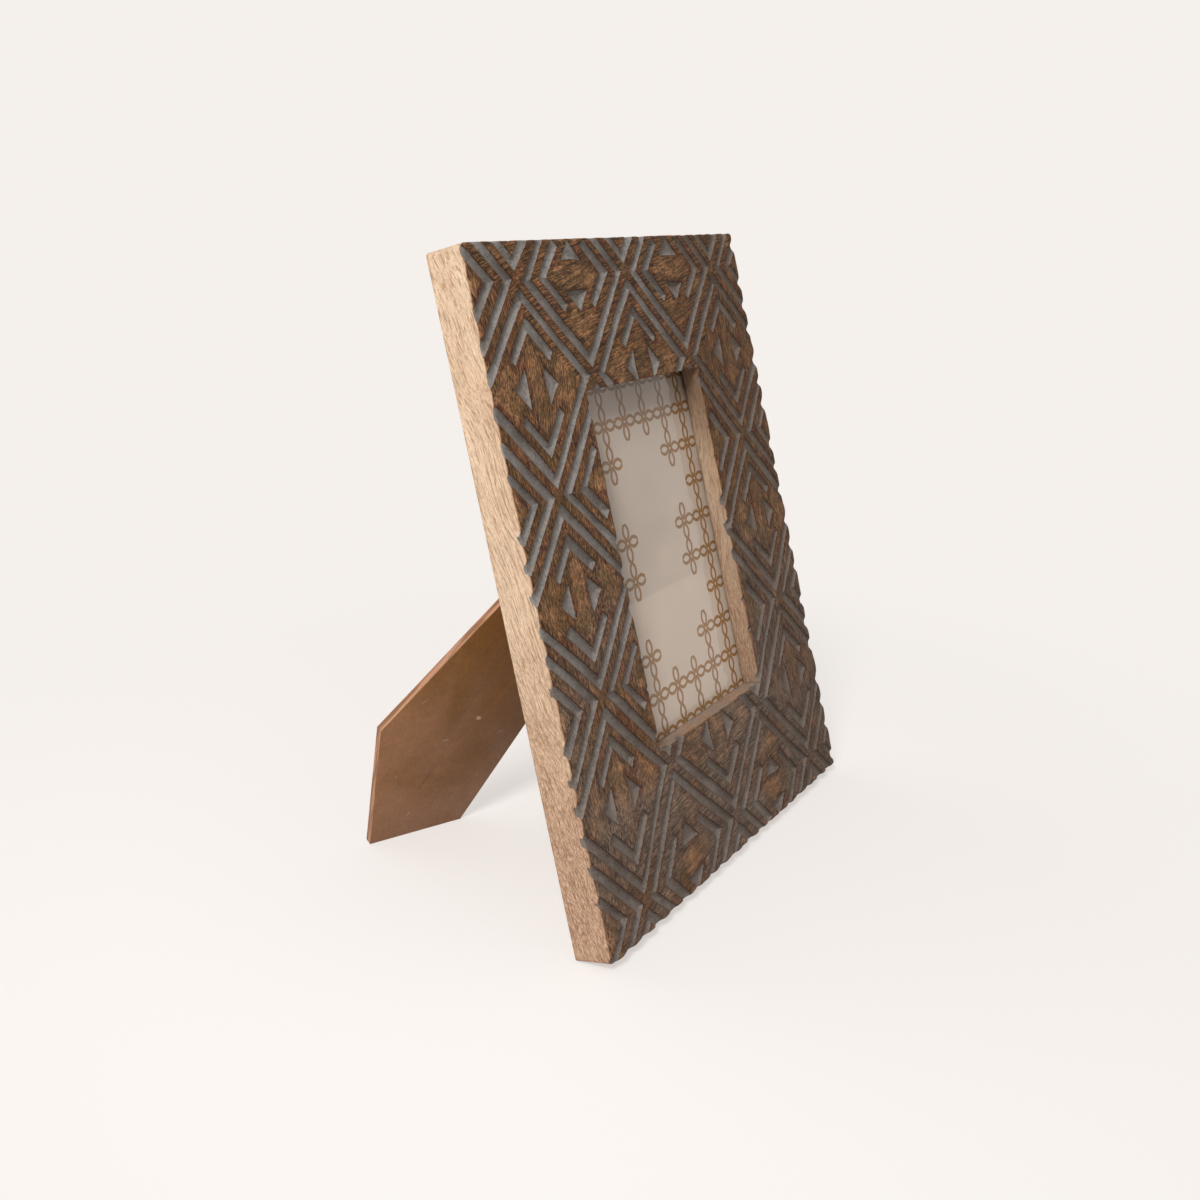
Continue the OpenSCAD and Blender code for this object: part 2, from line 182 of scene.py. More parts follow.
class StageLooks(bpy.types.PropertyGroup):
    """Floor, backdrop and lamps"""

    backdrop: colour("Backdrop", "Floor and backdrop as the camera sees them", 245, 240, 236)
    key: bpy.props.FloatProperty(
        name="Key lamp", description="Power of the lamp at the upper left", default=17.5,
        min=0, unit="POWER",
    )
    fill: bpy.props.FloatProperty(
        name="Fill", description="Strength of the light from all around", default=0.46, min=0
    )


def in_millimetres(group):
    """The numbers of a property group, its lengths in millimetres."""
    found = SimpleNamespace()
    for name, kind in group.bl_rna.properties.items():
        if kind.type in ("FLOAT", "INT"):
            value = getattr(group, name)
            setattr(found, name, value / MM if kind.unit == "LENGTH" else value)
    return found


def sizes():
    return in_millimetres(bpy.context.scene.frame_sizes)


def carving():
    return in_millimetres(bpy.context.scene.frame_carving)


def finishes():
    return bpy.context.scene.frame_finishes


def standing():
    """Carries the upright frame, drawn in millimetres, to its leaned place in metres."""
    half = bpy.context.scene.frame_sizes.thickness / 2
    shift = Vector((0, FOOT["pos_m"][1] + half * math.cos(LEAN), 0))
    return Matrix.Translation(shift) @ Matrix.Rotation(-LEAN, 4, "X") @ Matrix.Scale(MM, 4)


def upright_point(point):
    """A place of the standing frame, in the upright frame's millimetres."""
    return standing().inverted() @ Vector(point)


def hinge_place():
    """The hinge: X along its pin, Z away from the strut and Y off the back panel."""
    joint = JOINTS["strut_fold"]
    along = standing().inverted().to_3x3() @ Vector(joint["axis"])
    slope = math.atan2(-along.z, along.x)
    place = Matrix.Translation(upright_point(joint["pos_m"]))
    return place @ Matrix.Rotation(slope, 4, "Y")


def strut_place():
    """The hinge's place, swung to the open strut."""
    opening = -JOINTS["strut_fold"]["range_deg"][0]
    return hinge_place() @ Matrix.Rotation(math.radians(opening), 4, "X")


def object_mode():
    if bpy.context.object and bpy.context.object.mode != "OBJECT":
        bpy.ops.object.mode_set(mode="OBJECT")


def take(piece, *others):
    """Selects a piece alone, or with others, and makes it the active one."""
    object_mode()
    bpy.ops.object.select_all(action="DESELECT")
    for one in (piece, *others):
        one.select_set(True)
    bpy.context.view_layer.objects.active = piece


@contextmanager
def editing(piece, chosen="SELECT"):
    """Opens a piece for editing with all of it selected, or nothing, and closes it again."""
    take(piece)
    bpy.ops.object.mode_set(mode="EDIT")
    bpy.ops.mesh.select_mode(type="VERT")
    bpy.ops.mesh.select_all(action=chosen)
    yield
    bpy.ops.object.mode_set(mode="OBJECT")


def added(name, add, **settings):
    """Adds a primitive, a lamp or a camera under its name, with nothing else selected."""
    bpy.ops.object.select_all(action="DESELECT")
    add(**settings)
    piece = bpy.context.object
    piece.name = piece.data.name = name
    return piece


def joined(pieces):
    take(*pieces)
    bpy.ops.object.join()
    return pieces[0]


def apply_modifier(piece, kind, **settings):
    take(piece)
    modifier = piece.modifiers.new(kind.title(), kind)
    for name, value in settings.items():
        setattr(modifier, name, value)
    bpy.ops.object.modifier_apply(modifier=modifier.name)


def points_of(mesh):
    places = np.empty(len(mesh.vertices) * 3)
    mesh.vertices.foreach_get("co", places)
    return places.reshape(-1, 3)


def set_points(mesh, places):
    mesh.vertices.foreach_set("co", np.asarray(places, dtype=np.float64).ravel())
    mesh.update()


def settle(piece, matrix):
    """Puts a piece's place into its mesh, and leaves its object at the origin."""
    object_mode()
    piece.data.transform(matrix @ piece.matrix_world)
    piece.matrix_world = Matrix.Identity(4)
    piece.data.update()


def tidy_faces(piece, threshold=1e-5):
    """Merges doubles and turns every face outwards."""
    with editing(piece):
        bpy.ops.mesh.remove_doubles(threshold=threshold)
        bpy.ops.mesh.normals_make_consistent(inside=False)


def smooth(piece, degrees=35):
    take(piece)
    bpy.ops.object.shade_smooth_by_angle(angle=math.radians(degrees))


def dress(piece, body, slot, materials, *nodes):
    """Gives a finished piece its materials, parents it to the body it rides on, and hides the CAD nodes it stands
    in for.
    """
    if not materials:
        raise RuntimeError(f"{piece.name} has no material")
    marked = [min(face.material_index, len(materials) - 1) for face in piece.data.polygons]
    piece.data.materials.clear()
    for material in materials:
        piece.data.materials.append(material)
    piece.data.polygons.foreach_set("material_index", marked)
    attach(piece, body)
    if nodes:
        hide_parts(*nodes)
    return piece


def merged_copy(node, name):
    """A copy of a CAD node in the upright frame's millimetres, its flat faces made whole."""
    mesh = frame["nodes"][node].data.copy()
    mesh.name = name
    piece = bpy.data.objects.new(name, mesh)
    bpy.context.scene.collection.objects.link(piece)
    settle(piece, standing().inverted())
    with editing(piece):
        bpy.ops.mesh.remove_doubles(threshold=1e-3)
        bpy.ops.mesh.normals_make_consistent(inside=False)
        bpy.ops.mesh.dissolve_limited(angle_limit=math.radians(0.6))
    return piece


def part_edges(piece):
    """Gives the faces round a board, drawn with its faces square to Y, the board's second material."""
    for face in piece.data.polygons:
        face.material_index = 1 if abs(face.normal.y) < 0.5 else 0


def dome(radius, foot, rise, steps):
    """A domed end's profile, from its edge to its crown, as radius and place along the axis."""
    turns = np.linspace(math.pi / 2, 0, steps)[:-1]
    curve = [(radius * math.sin(turn), foot + rise * math.cos(turn)) for turn in turns]
    return curve + [(0, foot + rise)]


def turned_part(name, profile, steps=32):
    """Turns a profile, given as radius and place along Y from one end to the other, about Y."""
    piece = added(name, bpy.ops.mesh.primitive_plane_add, size=1, location=(0, 0, 0))
    with editing(piece):
        bpy.ops.mesh.merge(type="CENTER")
        bpy.ops.transform.translate(value=(*profile[0], 0))
        for start, end in zip(profile, profile[1:]):
            step = (end[0] - start[0], end[1] - start[1], 0)
            bpy.ops.mesh.extrude_vertices_move(TRANSFORM_OT_translate={"value": step})
        bpy.ops.mesh.select_all(action="SELECT")
        bpy.ops.mesh.spin(steps=steps, angle=2 * math.pi, center=(0, 0, 0), axis=(0, 1, 0))
    tidy_faces(piece, 1e-3)
    return piece


def ease_edges(piece, width, segments=2, degrees=40):
    apply_modifier(
        piece, "BEVEL", width=width, segments=segments, limit_method="ANGLE",
        angle_limit=math.radians(degrees), use_clamp_overlap=True, miter_outer="MITER_ARC",
    )


def eased_copy(node, name, width, segments=2, degrees=40):
    """A copy of a CAD node with its edges eased, in its place."""
    piece = merged_copy(node, name)
    ease_edges(piece, width, segments, degrees)
    settle(piece, standing())
    smooth(piece)
    return piece


class Recipe:
    """A short way to add nodes to a tree. A value is a socket, a number, a vector or a colour."""

    def __init__(self, tree):
        self.tree = tree
        self.count = 0

    def node(self, kind, values=None, **settings):
        made = self.tree.nodes.new("ShaderNode" + kind)
        made.location = (200 * (self.count % 12) - 1200, -220 * (self.count // 12))
        self.count += 1
        for name, value in settings.items():
            setattr(made, name, value)
        for name, value in (values or {}).items():
            self.feed(made.inputs[name], value)
        return made

    def feed(self, socket, value):
        if isinstance(value, bpy.types.NodeSocket):
            self.tree.links.new(value, socket)
        elif socket.type == "RGBA":
            socket.default_value = (*tuple(value)[:3], 1)
        else:
            socket.default_value = value

    def math(self, operation, first, second=0.0, third=0.0, clamp=False):
        values = {0: first, 1: second, 2: third}
        return self.node("Math", values, operation=operation, use_clamp=clamp).outputs[0]

    def plus(self, first, second):
        return self.math("ADD", first, second)

    def less(self, first, second):
        return self.math("SUBTRACT", first, second)

    def times(self, first, second, clamp=False):
        return self.math("MULTIPLY", first, second, clamp=clamp)

    def scaled(self, value, factor, offset, clamp=False):
        return self.math("MULTIPLY_ADD", value, factor, offset, clamp)

    def span(self, value, low, high):
        """0 below low and 1 above high, or the other way round, with soft ends."""
        turned = low > high
        values = {"Value": value, "From Min": min(low, high), "From Max": max(low, high)}
        values["To Min"] = 1.0 if turned else 0.0
        values["To Max"] = 0.0 if turned else 1.0
        return self.node("MapRange", values, interpolation_type="SMOOTHSTEP").outputs[0]

    def mix(self, share, first, second):
        made = self.node("Mix", data_type="RGBA")
        self.feed(made.inputs[0], share)
        self.feed(made.inputs[6], first)
        self.feed(made.inputs[7], second)
        return made.outputs[2]

    def blended(self, share, first, second):
        """Two shader nodes mixed by a share of the second."""
        return self.node("MixShader", {0: share, 1: first.outputs[0], 2: second.outputs[0]})

    def shade(self, colour_in, amount):
        """Darkens or lightens a colour by a factor."""
        made = self.node("VectorMath", {0: colour_in, 1: (1, 1, 1)}, operation="MULTIPLY")
        factors = self.node("CombineXYZ", {0: amount, 1: amount, 2: amount})
        self.tree.links.new(factors.outputs[0], made.inputs[1])
        return made.outputs[0]

    def swing(self, value, amount):
        """1 where a noise is at its middle, and more or less by this amount of its swing."""
        return self.scaled(self.less(value, 0.5), amount, 1.0)

    def dimmed(self, mask, share):
        """1 where a mask is 0, and less by this share where it is 1."""
        return self.scaled(mask, -share, 1.0)

    def noise(self, vector, scale, detail=2.0, roughness=0.5, distortion=0.0):
        values = {"Vector": vector, "Scale": scale, "Detail": detail, "Roughness": roughness}
        values["Distortion"] = distortion
        return self.node("TexNoise", values).outputs["Fac"]

    def vector(self, operation, first, second):
        return self.node("VectorMath", {0: first, 1: second}, operation=operation).outputs[0]

    def stretch(self, vector, across, deep, along):
        return self.vector("MULTIPLY", vector, (across, deep, along))

    def mapped(self, vector, location=(0, 0, 0), rotation=(0, 0, 0), scale=(1, 1, 1), kind="POINT"):
        values = {"Vector": vector, "Location": location, "Rotation": rotation, "Scale": scale}
        return self.node("Mapping", values, vector_type=kind).outputs[0]

    def turned(self, vector, shift, turn=(0, 0, 0)):
        """The vector with a pattern shifted in millimetres and turned in degrees."""
        return self.mapped(vector, shift, [math.radians(angle) for angle in turn])

    def placed(self, matrix):
        """Object coordinates in the millimetres of a drawing that this matrix puts in its place."""
        back = matrix.inverted()
        vector = self.node("TexCoord").outputs["Object"]
        return self.mapped(vector, back.to_translation(), back.to_euler("XYZ"), back.to_scale())

    def group(self, tree, values):
        made = self.node("Group")
        made.node_tree = tree
        for name, value in values.items():
            self.feed(made.inputs[name], value)
        return made.outputs

    def attribute(self, name):
        return self.node("Attribute", attribute_name=name, attribute_type="GEOMETRY").outputs["Fac"]

    def finish(self, shader, colour_in, roughness, height, strength, distance):
        """Feeds a Principled shader its colour, its roughness and a bump of this height."""
        relief = self.node("Bump", {"Height": height, "Strength": strength, "Distance": distance})
        self.feed(shader["Base Color"], colour_in)
        self.feed(shader["Roughness"], roughness)
        self.feed(shader["Normal"], relief.outputs[0])


def shared_group(name, inputs, fill):
    """A node group that is made once. Its fill gives the outputs by name from a recipe and the inputs."""
    tree = bpy.data.node_groups.get(name)
    if tree:
        return tree
    tree = bpy.data.node_groups.new(name, "ShaderNodeTree")
    for label, kind in inputs.items():
        tree.interface.new_socket(label, in_out="INPUT", socket_type="NodeSocket" + kind)
    recipe = Recipe(tree)
    start = tree.nodes.new("NodeGroupInput")
    values = fill(recipe, start.outputs)
    for label in values:
        tree.interface.new_socket(label, in_out="OUTPUT", socket_type="NodeSocketFloat")
    end = tree.nodes.new("NodeGroupOutput")
    for label, value in values.items():
        recipe.feed(end.inputs[label], value)
    return tree


def timber_grain(recipe, given):
    """Grain of a coarse, pale wood whose fibres run along Z, in millimetres.
    Curl is how much the fibres wander."""
    vector = given["Vector"]
    for scale, reach in ((0.022, 8.0), (0.08, 1.3)):
        sway = recipe.node("TexNoise", {"Vector": given["Vector"], "Scale": scale, "Detail": 1.0})
        pulled = recipe.vector("ADD", sway.outputs["Color"], (-0.5, -0.5, -0.5))
        amount = recipe.times(given["Curl"], reach)
        moved = recipe.node("VectorMath", {0: pulled, "Scale": amount}, operation="SCALE")
        vector = recipe.vector("ADD", vector, moved.outputs[0])
    dashes = recipe.noise(recipe.stretch(vector, 2.4, 2.4, 0.35), 1, 2, 0.5)
    level = recipe.scaled(recipe.noise(given["Vector"], 0.08, 2), 0.22, dashes)
    return {
        "Figure": recipe.noise(recipe.stretch(vector, 0.17, 0.17, 0.02), 1, 3, 0.55, 0.4),
        "Fibre": recipe.noise(recipe.stretch(vector, 1.5, 1.5, 0.08), 1, 3, 0.65),
        "Pores": recipe.span(level, 0.65, 0.73),
        "Mottle": recipe.noise(given["Vector"], 0.13, 4, 0.62),
    }


def rubbed_metal(recipe, given):
    """Fine rubbing marks and dull spots of plated sheet metal, in millimetres."""
    return {
        "Marks": recipe.noise(recipe.stretch(given["Vector"], 6.0, 6.0, 0.5), 1, 3, 0.6),
        "Dull": recipe.noise(given["Vector"], 0.45, 4, 0.6),
    }


def pressed_fibres(recipe, given):
    """Short matted fibres of hardboard and cardboard, in millimetres."""
    return {
        "Clouds": recipe.noise(given["Vector"], 0.035, 4, 0.55, 0.4),
        "Flecks": recipe.noise(recipe.stretch(given["Vector"], 2.2, 2.2, 0.9), 1, 3, 0.6),
        "Fuzz": recipe.noise(given["Vector"], 4.0, 3, 0.7),
    }


def fibres_of(recipe, board):
    tree = shared_group("pressed_fibres", {"Vector": "Vector"}, pressed_fibres)
    return recipe.group(tree, {"Vector": board})


def new_material(name):
    """A material with a Principled shader, and the recipe that fills it."""
    made = bpy.data.materials.new(name)
    made.use_nodes = True
    made.node_tree.nodes.clear()
    recipe = Recipe(made.node_tree)
    shader = recipe.node("BsdfPrincipled")
    out = recipe.node("OutputMaterial", {"Surface": shader.outputs[0]})
    out.is_active_output = True
    return made, recipe, shader.inputs, out.inputs


def carved_wood(name, shift, turn, curl):
    """Bare pale wood whose carved front is stained brown and washed grey in its grooves."""
    look, size = finishes(), sizes()
    made, recipe, shader, _ = new_material(name)
    mix, span, shade, swing = recipe.mix, recipe.span, recipe.shade, recipe.swing
    plus, less, times, scaled = recipe.plus, recipe.less, recipe.times, recipe.scaled
    upright = recipe.placed(standing())
    grained = recipe.turned(upright, shift, turn)
    tree = shared_group("timber_grain", {"Vector": "Vector", "Curl": "Float"}, timber_grain)
    grain = recipe.group(tree, {"Vector": grained, "Curl": curl})
    reach = recipe.attribute("groove_reach")
    rim = recipe.attribute("rim_reach")
    gentle = span(recipe.attribute("groove_wall"), 0.85, 1.5)
    steep = less(1.0, gentle)
    fine = recipe.noise(upright, 0.9, 3, 0.6)
    speck = span(recipe.noise(recipe.stretch(grained, 2.4, 2.4, 0.6), 1, 2, 0.65), 0.34, 0.66)
    place = recipe.node("SeparateXYZ", {0: upright}).outputs
    low = span(place["Z"], 150, 20)
    rightward = span(place["X"], 10, 70)

    def patches(where, scale, least, most):
        return span(recipe.noise(recipe.turned(upright, where), scale, 3, 0.6), least, most)

    # Bare wood, browner and darker towards the foot, partly its own redder tone and partly painted shade, and
    # darker on the walls of the window
    bare = mix(span(grain["Figure"], 0.3, 0.75), look.bare_wood, look.bare_wood_warm)
    bare = mix(low, bare, look.bare_wood_low_shaded)
    lines = times(span(grain["Fibre"], 0.48, 0.64), scaled(low, -0.1, 0.6))
    bare = mix(lines, bare, look.pores)
    bare = shade(bare, swing(speck, scaled(low, 0.4, 0.2)))
    bare = shade(bare, swing(grain["Mottle"], 0.25))
    bare = mix(times(grain["Pores"], scaled(low, 0.5, 0.1)), bare, look.pores)
    past_side = less(recipe.math("ABSOLUTE", place["X"]), size.window_width / 2)
    above_middle = recipe.math("ABSOLUTE", less(place["Z"], size.height / 2))
    past_window = recipe.math("MAXIMUM", past_side, less(above_middle, size.window_height / 2))
    walls = span(past_window, 0.9, 0.5)
    # On the window's walls a thin stain with painted shade, and more painted shade towards the top, under the top
    # rail
    dim = times(walls, scaled(span(place["Z"], 150, 188), 0.45, 0.38))
    bare = mix(dim, bare, look.wall_stain_and_shade)
    smudge = times(span(recipe.noise(upright, 0.09, 3), 0.42, 0.62), span(place["Z"], 60, 56))
    bare = mix(times(times(smudge, walls), 0.7), bare, look.wash_thick_and_lit)

    # Brown ridges, rubbed paler in their middles, with some grey residue low down
    broad = recipe.noise(recipe.turned(upright, (31, 17, 5)), 0.022, 3, 0.55)
    paler = times(span(place["X"], 0, -60), 0.2)
    rubbed = span(scaled(broad, 0.8, plus(grain["Figure"], paler)), 0.66, 1.06)
    field = scaled(span(reach, -1.3, -2.8), 0.75, 0.15)
    ridge = mix(times(rubbed, field), look.stain, look.stain_light)
    ridge = mix(times(patches((52, 8, 19), 0.11, 0.42, 0.6), 0.8), ridge, look.stain_olive)
    residue = scaled(span(place["Z"], 170, 40), 0.45, 0.05)
    ridge = mix(times(residue, patches((7, 90, 44), 0.03, 0.3, 0.62)), ridge, look.wash)
    narrow = span(reach, -2.6, -1.6)
    soft = recipe.dimmed(low, 0.3)
    strong = times(soft, scaled(narrow, 0.5, 1.05))
    ridge = shade(ridge, swing(span(grain["Fibre"], 0.35, 0.65), strong))
    ridge = shade(ridge, swing(speck, times(soft, 0.85)))
    ridge = shade(ridge, swing(grain["Mottle"], plus(narrow, 1.0)))
    ridge = mix(times(grain["Pores"], 0.5), ridge, look.dark_stain_and_shadow)
    ridge = shade(ridge, recipe.dimmed(rightward, 0.13))
    arris = times(span(reach, -0.75, -0.2), span(fine, 0.45, 0.65))
    ridge = mix(times(arris, 0.6), ridge, look.rust)

    # Grooves washed grey, with a dark line along their mouths: partly dark stain and partly painted shadow,
    # strongest by the steep upper walls
    ragged = scaled(less(fine, 0.5), 0.22, reach)
    scorch_and_shadow = scaled(span(fine, 0.6, 0.4), 0.45, 0.3)
    scorch_and_shadow = scaled(steep, 0.4, scorch_and_shadow, clamp=True)
    edged = mix(times(span(ragged, -0.5, -0.1), scorch_and_shadow), ridge, look.dark_stain_and_shadow)
    # The wash is lighter where it lies thick, and painted lighter on the gentle walls that face the light
    thick = times(span(recipe.noise(upright, 0.06, 3, 0.6), 0.36, 0.66), 0.75)
    thick = scaled(gentle, 0.45, thick, clamp=True)
    washed = mix(thick, look.wash, look.wash_thick_and_lit)
    browned = recipe.math("MAXIMUM", times(low, 0.5), times(rightward, 0.6))
    washed = mix(browned, washed, look.wash_brown)
    # Painted shade in the grooves near the foot of their steep upper walls
    washed = shade(washed, recipe.dimmed(times(span(reach, 0.8, 0.1), steep), 0.35))
    washed = shade(washed, swing(fine, 0.6))
    washed = mix(times(grain["Pores"], 0.3), washed, look.dark_stain_and_shadow)
    front = mix(span(ragged, 0.0, 0.09), edged, washed)

    # The stain ends raggedly at the front's rim, and the wash spills over it at the groove mouths
    lip = scaled(less(fine, 0.5), 0.6, rim)
    stained = span(lip, -0.12, 0.1)
    wide = times(span(recipe.noise(upright, 0.05, 2), 0.4, 0.58), span(place["Z"], 172, 150))
    mouth = times(span(ragged, 0.5, 1.0), span(scaled(wide, 1.3, lip), -0.6, -0.1))
    colour_out = mix(times(span(lip, -0.6, -0.05), 0.6), bare, look.rust)
    colour_out = mix(mouth, colour_out, washed)
    colour_out = mix(stained, colour_out, front)

    waxed = times(stained, less(1.0, span(reach, 0.0, 0.3)))
    rough = scaled(less(grain["Fibre"], 0.5), 0.4, scaled(waxed, -0.22, 0.84))
    relief = scaled(grain["Pores"], -0.9, grain["Fibre"])
    relief = scaled(recipe.noise(upright, 1.6, 3, 0.6), 0.8, relief)
    recipe.finish(shader, colour_out, rough, relief, 0.7, 0.00025)
    shader["Specular IOR Level"].default_value = 0.12
    return made


def clear_glass(name):
    """Clear float glass that lets the lamps' light through to the card."""
    made, recipe, shader, out = new_material(name)
    shader["Base Color"].default_value = (0.97, 0.985, 0.98, 1)
    shader["Transmission Weight"].default_value = 1.0
    shader["IOR"].default_value = 1.45
    shader["Roughness"].default_value = 0.0
    clear = recipe.node("BsdfTransparent", {"Color": (0.94, 0.955, 0.95)})
    shadow = recipe.node("LightPath").outputs["Is Shadow Ray"]
    glass = out["Surface"].links[0].from_node
    recipe.feed(out["Surface"], recipe.blended(shadow, glass, clear).outputs[0])
    return made


def printed_card(name):
    """Matt paper with an ornament of small four-petalled flowers round a bare middle."""
    look = finishes()
    made, recipe, shader, _ = new_material(name)
    plus, less, times = recipe.plus, recipe.less, recipe.times
    card = recipe.placed(standing() @ Matrix.Translation((0, 0, sizes().height / 2)))
    pitch = 15.6
    line = 0.68
    split = recipe.node("SeparateXYZ", {0: card}).outputs
    places = [recipe.math("ABSOLUTE", recipe.math("DIVIDE", split[axis], pitch)) for axis in (0, 2)]
    steps = [recipe.math("FLOOR", place) for place in places]
    local = [recipe.math("ABSOLUTE", less(recipe.math("FRACT", place), 0.5)) for place in places]
    far = recipe.math("MAXIMUM", *local)
    near = recipe.math("MINIMUM", *local)

    def from_point(first, second):
        """Distance of a place in its cell from a point there, by how far it is along each axis."""
        return recipe.math("SQRT", recipe.scaled(first, first, recipe.math("POWER", second, 2.0)))

    petal_middle, petal_half, bow, eye_radius = 0.29, 0.21, 0.12, 0.08
    petal = from_point(less(far, petal_middle), plus(near, bow))
    petal = recipe.math("ABSOLUTE", less(petal, math.hypot(petal_half, bow)))
    eye = recipe.math("ABSOLUTE", less(from_point(far, near), eye_radius))
    apart = times(recipe.math("MINIMUM", petal, eye), pitch)
    beside = times(less(steps[0], steps[1]), 3.0)
    round_middle = recipe.math("MAXIMUM", plus(steps[0], steps[1]), beside)
    shown = recipe.math("GREATER_THAN", round_middle, 2.5)
    wear = recipe.scaled(recipe.noise(card, 1.4, 3, 0.6), 0.8, 0.58)
    inked = times(times(recipe.span(apart, line + 0.12, line - 0.12), shown), wear, clamp=True)
    paper = recipe.shade(look.paper, recipe.swing(recipe.noise(card, 0.05, 3, 0.5), 0.14))
    tooth = recipe.noise(card, 5.0, 3, 0.6)
    rough = recipe.scaled(inked, -0.3, 0.85)
    recipe.finish(shader, recipe.mix(inked, paper, look.print), rough, tooth, 0.15, 0.00005)
    return made


def hardboard_face(name, matrix, scuffs, stains):
    """Smooth pressed face of brown hardboard, with a few pale scuffs and dark stains at given places."""
    look = finishes()
    made, recipe, shader, _ = new_material(name)
    board = recipe.placed(matrix)
    fibres = fibres_of(recipe, board)
    # Darker and yellower towards the board's top: a real tone, and on the strut painted shade under the frame
    depth = recipe.times(recipe.node("SeparateXYZ", {0: board}).outputs["Z"], 0.006)
    clouded = recipe.plus(fibres["Clouds"], depth)
    base = recipe.mix(recipe.span(clouded, -0.6, 0.0), look.hardboard, look.hardboard_dark_and_shaded)
    mottle = recipe.noise(board, 0.3, 3, 0.6)
    for pattern, amount in ((fibres["Flecks"], 0.9), (fibres["Fuzz"], 0.5), (mottle, 0.35)):
        base = recipe.shade(base, recipe.swing(pattern, amount))
    for places, colour_in in ((stains, look.dark_stain_and_shadow), (scuffs, look.hardboard_scuff)):
        for across, up, long, wide, turn, strength in places:
            rotation = (0, math.radians(turn), 0)
            placed = recipe.mapped(board, (across, 0, up), rotation, (long, 1000, wide), "TEXTURE")
            away = recipe.node("VectorMath", {0: placed}, operation="LENGTH").outputs["Value"]
            broken = recipe.scaled(recipe.noise(board, 0.8, 3), 1.1, away)
            base = recipe.mix(recipe.times(recipe.span(broken, 1.5, 0.6), strength), base, colour_in)
    rough = recipe.scaled(recipe.less(fibres["Clouds"], 0.5), 0.6, 0.5)
    recipe.finish(shader, base, rough, recipe.plus(fibres["Fuzz"], fibres["Flecks"]), 0.3, 0.0001)
    shader["Specular IOR Level"].default_value = 0.4
    return made


def hardboard_edge(name, matrix):
    """Sawn edge of hardboard: paler, felted and in faint layers."""
    look = finishes()
    made, recipe, shader, _ = new_material(name)
    board = recipe.placed(matrix)
    fuzz = fibres_of(recipe, board)["Fuzz"]
    layers = recipe.noise(recipe.stretch(board, 0.04, 0.6, 0.04), 1, 3, 0.6)
    base = recipe.mix(recipe.span(layers, 0.44, 0.56), look.hardboard_edge, look.hardboard)
    base = recipe.shade(base, recipe.swing(fuzz, 1.0))
    recipe.finish(shader, base, 0.9, recipe.plus(fuzz, layers), 0.5, 0.0002)
    return made


def plated_metal(name, colour_in, matrix, turn=(0, 0, 0)):
    """Plated sheet metal with rubbing marks and a few dull spots."""
    made, recipe, shader, _ = new_material(name)
    place = recipe.turned(recipe.placed(matrix), (0, 0, 0), turn)
    metal = recipe.group(shared_group("rubbed_metal", {"Vector": "Vector"}, rubbed_metal), {"Vector": place})
    dull = recipe.span(metal["Dull"], 0.5, 0.72)
    tint = recipe.shade(colour_in, recipe.swing(metal["Marks"], 0.5))
    tint = recipe.shade(tint, recipe.dimmed(dull, 0.22))
    rough = recipe.plus(0.27, recipe.times(dull, 0.2))
    rough = recipe.plus(rough, recipe.times(metal["Marks"], 0.12))
    recipe.finish(shader, tint, rough, metal["Marks"], 0.2, 0.00003)
    shader["Metallic"].default_value = 1.0
    return made


def cardboard(name):
    made, recipe, shader, _ = new_material(name)
    fibres = fibres_of(recipe, recipe.placed(standing()))
    base = recipe.shade(finishes().cardboard, recipe.swing(fibres["Flecks"], 0.8))
    recipe.finish(shader, base, 0.92, fibres["Fuzz"], 0.4, 0.0001)
    return made


def ripple(across, up, seed):
    """A smooth random height of about -1 to 1 over places whose unit is one wave, always the same."""
    numbers = np.random.RandomState(seed)
    total = np.zeros_like(across)
    for _ in range(9):
        angle, size, phase = numbers.uniform(0, 2 * math.pi, 3) * (1, 0.13, 1) + (0, 0.6, 0)
        total += np.sin(2 * math.pi * size * (across * math.cos(angle) + up * math.sin(angle)) + phase)
    return total / 3


def groove_reach(across, up):
    """How far inside a groove each place lies, in millimetres, and below 0 on the ridges.
    The places are on axes turned by an eighth, so that the lattice runs along them."""
    cut = carving()
    period = cut.cell / math.sqrt(2)
    half = cut.groove / 2
    outer = period / 2 - cut.pitch / 2
    inner = period / 2 - cut.pitch * 1.5
    arm = cut.reach * math.sqrt(2)
    column, row = np.round(across / period), np.round(up / period)
    first, second = across - column * period, up - row * period
    second = np.where((column - row) % 2 == 0, -second, second)
    inside = half - np.abs(np.maximum(np.abs(first), np.abs(second)) - outer)
    for side in (1, -1):
        tip, other = side * first, side * second
        flank = half - np.abs(np.maximum(tip, other) - inner)
        end = (np.minimum(tip, other) + arm - inner) * 0.7
        inside = np.maximum(inside, np.minimum(flank, end))
    away = np.abs(first - second) / math.sqrt(2)
    along = np.abs(first + second) / math.sqrt(2)
    edge, tall, half_edge = cut.triangle_edge, cut.triangle_length, cut.triangle_half
    slant = ((edge + tall - away) * half_edge - along * tall) / math.hypot(tall, half_edge)
    return np.maximum(inside, np.minimum(away - edge, slant))


